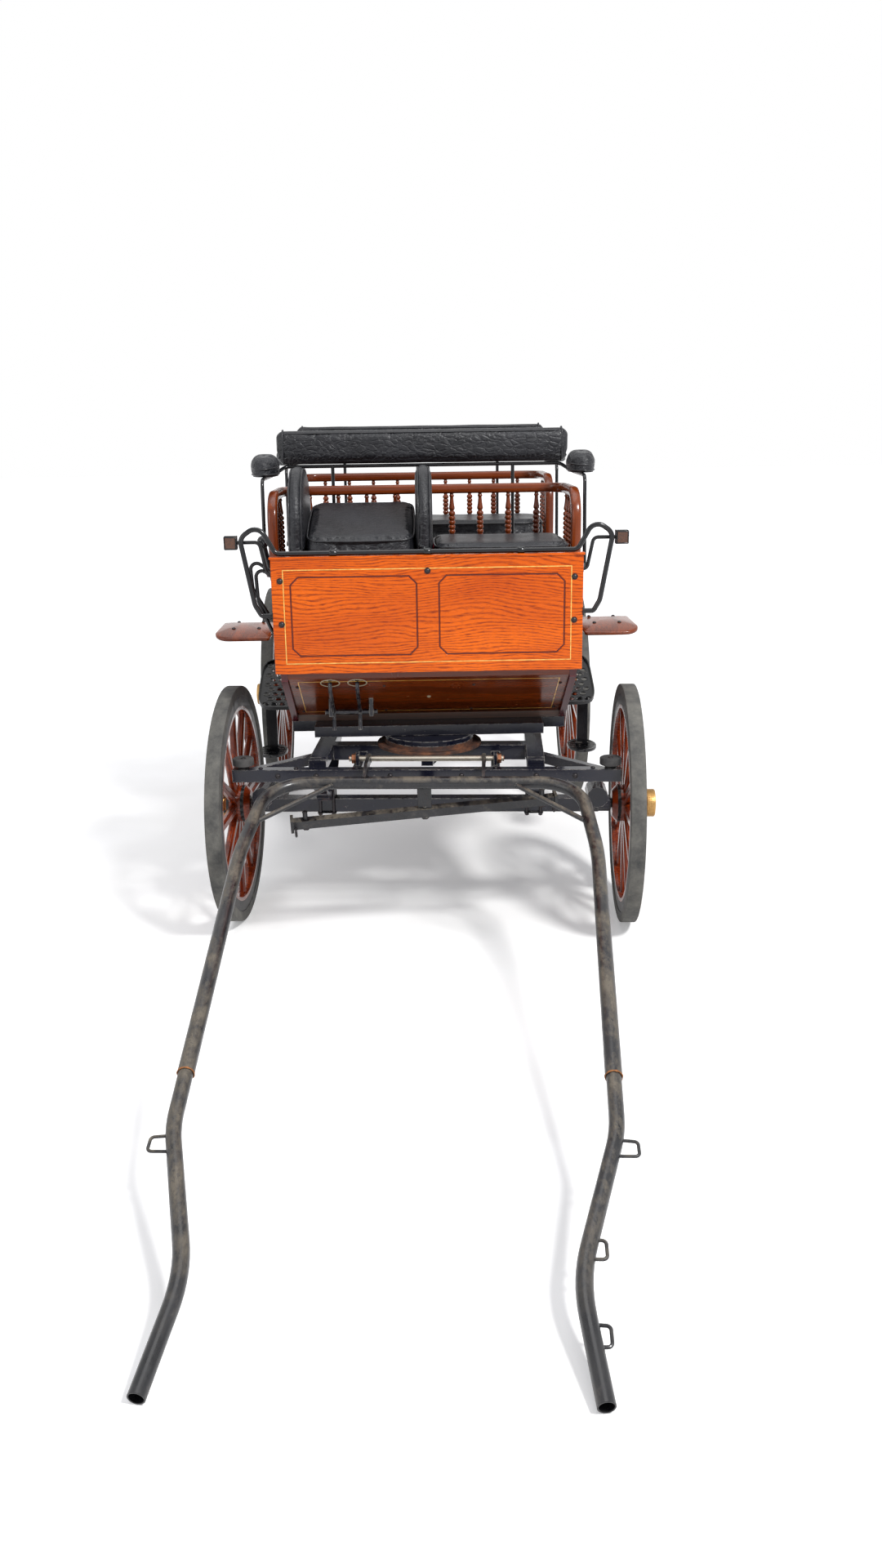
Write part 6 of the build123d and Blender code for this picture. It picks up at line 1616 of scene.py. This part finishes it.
def arm_pad(name, side, back, rise, made, replaced):
    """A domed leather pad over the arm, with a double row of piping."""
    base = SEAT_TOP + rise + 0.3203
    centre_y = KINGPIN.y + 0.595 + back
    half_length = 0.1085
    rings = []
    outline = rounded_outline(0.0485, half_length, 0.04, 48)
    levels = ((0.4, 0.0), (0.93, 0.0), (0.985, 0.003), (1.0, 0.009), (0.975, 0.016), (0.985, 0.024),
              (1.0, 0.03), (0.995, 0.036), (0.985, 0.048), (0.945, 0.06), (0.86, 0.0685), (0.7, 0.0745),
              (0.45, 0.0775), (0.1, 0.0785))
    for scale, z in levels:
        rings.append([(side * IRON_X + a * scale, centre_y + b * scale,
                       base + z - (0.007 * (b / half_length) ** 2 if z > 0.03 else 0)) for a, b in outline])
    padded_mesh(name, rings, made["leather"], 0.004, replaced)
    piping = Stock()
    for ring in (rings[3], rings[7]):
        piping.tube(ring, CORD, 8, closed=True)
    piped(piping, name, made)


def bolster(name, x0, x1, made, replaced):
    """A tall flat bolster with a rounded top, at the side of the driver's seat."""
    y0, y1 = KINGPIN.y + 0.347, KINGPIN.y + 0.784
    z0, z1 = SEAT_TOP + 0.0003, SEAT_TOP + 0.3587
    centre = (x0 + x1) / 2
    half = (x1 - x0) / 2
    outline = [(y0, z0), (y0, z0 + 0.08)]
    front_r, back_r = 0.205, 0.19
    for start, radius, arc_y in ((180, front_r, y0 + front_r), (90, back_r, y1 - back_r)):
        for step in range(13):
            turn = math.radians(start - step * 7.5)
            outline.append((arc_y + radius * math.cos(turn), z1 - radius + radius * math.sin(turn)))
    outline += [(y1, z0 + 0.08), (y1, z0)]
    middle = ((y0 + y1) / 2, z0 + 0.16)
    rings = []
    swell = ((1.0, 0.2), (1.0, 0.6), (0.98, 0.8), (0.92, 0.875), (0.8, 0.93), (0.64, 0.965), (0.44, 0.985),
             (0.2, 0.997))
    for share, scale in [(-a, b) for a, b in swell] + [(0.0, 1.0)] + list(reversed(swell)):
        rings.append([(centre + half * share, middle[0] + (y - middle[0]) * scale,
                       max(z0, middle[1] + (z - middle[1]) * scale)) for y, z in outline])
    padded_mesh(name, rings, made["leather"], 0.004, replaced)
    piping = Stock()
    for share in (-0.78, 0.78):
        piping.tube([(centre + half * share, middle[0] + (y - middle[0]) * 0.936,
                      max(z0 + 0.002, middle[1] + (z - middle[1]) * 0.936)) for y, z in outline], CORD, 8)
    piped(piping, name, made)


def upholstery(made):
    front = KINGPIN.y
    boxed_cushion("passenger_pad", "passenger_cushion", (0.032, front + 0.347, SEAT_TOP + 0.0003),
                  (0.539, front + 0.784, PAD_TOP), made, sag=((0.29, front + 0.55, 0.16, 0.009),))
    boxed_cushion("rear_pad", "rear_cushion", (-0.539, front + 1.297, SEAT_TOP + 0.0103),
                  (0.539, front + 1.734, PAD_TOP + 0.01), made,
                  sag=((-0.27, front + 1.5, 0.16, 0.007), (0.27, front + 1.5, 0.16, 0.007)))
    boxed_cushion("driver_wedge", "driver_cushion", (-0.443, front + 0.347, SEAT_TOP + 0.0003),
                  (-0.034, front + 0.784, SEAT_TOP + 0.215), made, crown=0.01, front_low=0.103,
                  sag=((-0.24, front + 0.55, 0.15, 0.008),))
    bolster("inner_bolster", -0.03, 0.026, made, "driver_bolsters")
    bolster("outer_bolster", -0.503, -0.447, made, None)
    lazyback("front_lazyback", 0.0, 0.0, made, "lazybacks")
    lazyback("rear_lazyback", 0.95, 0.01, made, None)
    first = True
    for row, back, rise in ROWS:
        for side, word in ((-1, "right"), (1, "left")):
            arm_pad(row + "_arm_" + word, side, back, rise, made, "arm_pads" if first else None)
            first = False


look()
stage()
MADE = make_materials()
dress_nodes(MADE)
for make in (shafts, swingletree_fittings, fore_fittings, axle_straps, wheel_fittings):
    make(MADE)
for ROW, BACK, RISE in ROWS:
    gallery(ROW, BACK, RISE, MADE)
for make in (back_irons, rein_rail, lamp_brackets, hand_brake, brake_guard, gold_lines, dash_bolts,
             pedal_hole_rims, groove_shade, pedal_pads, lamp_bezels, side_lines, fender, steps,
             chassis_fittings, upholstery):
    make(MADE)
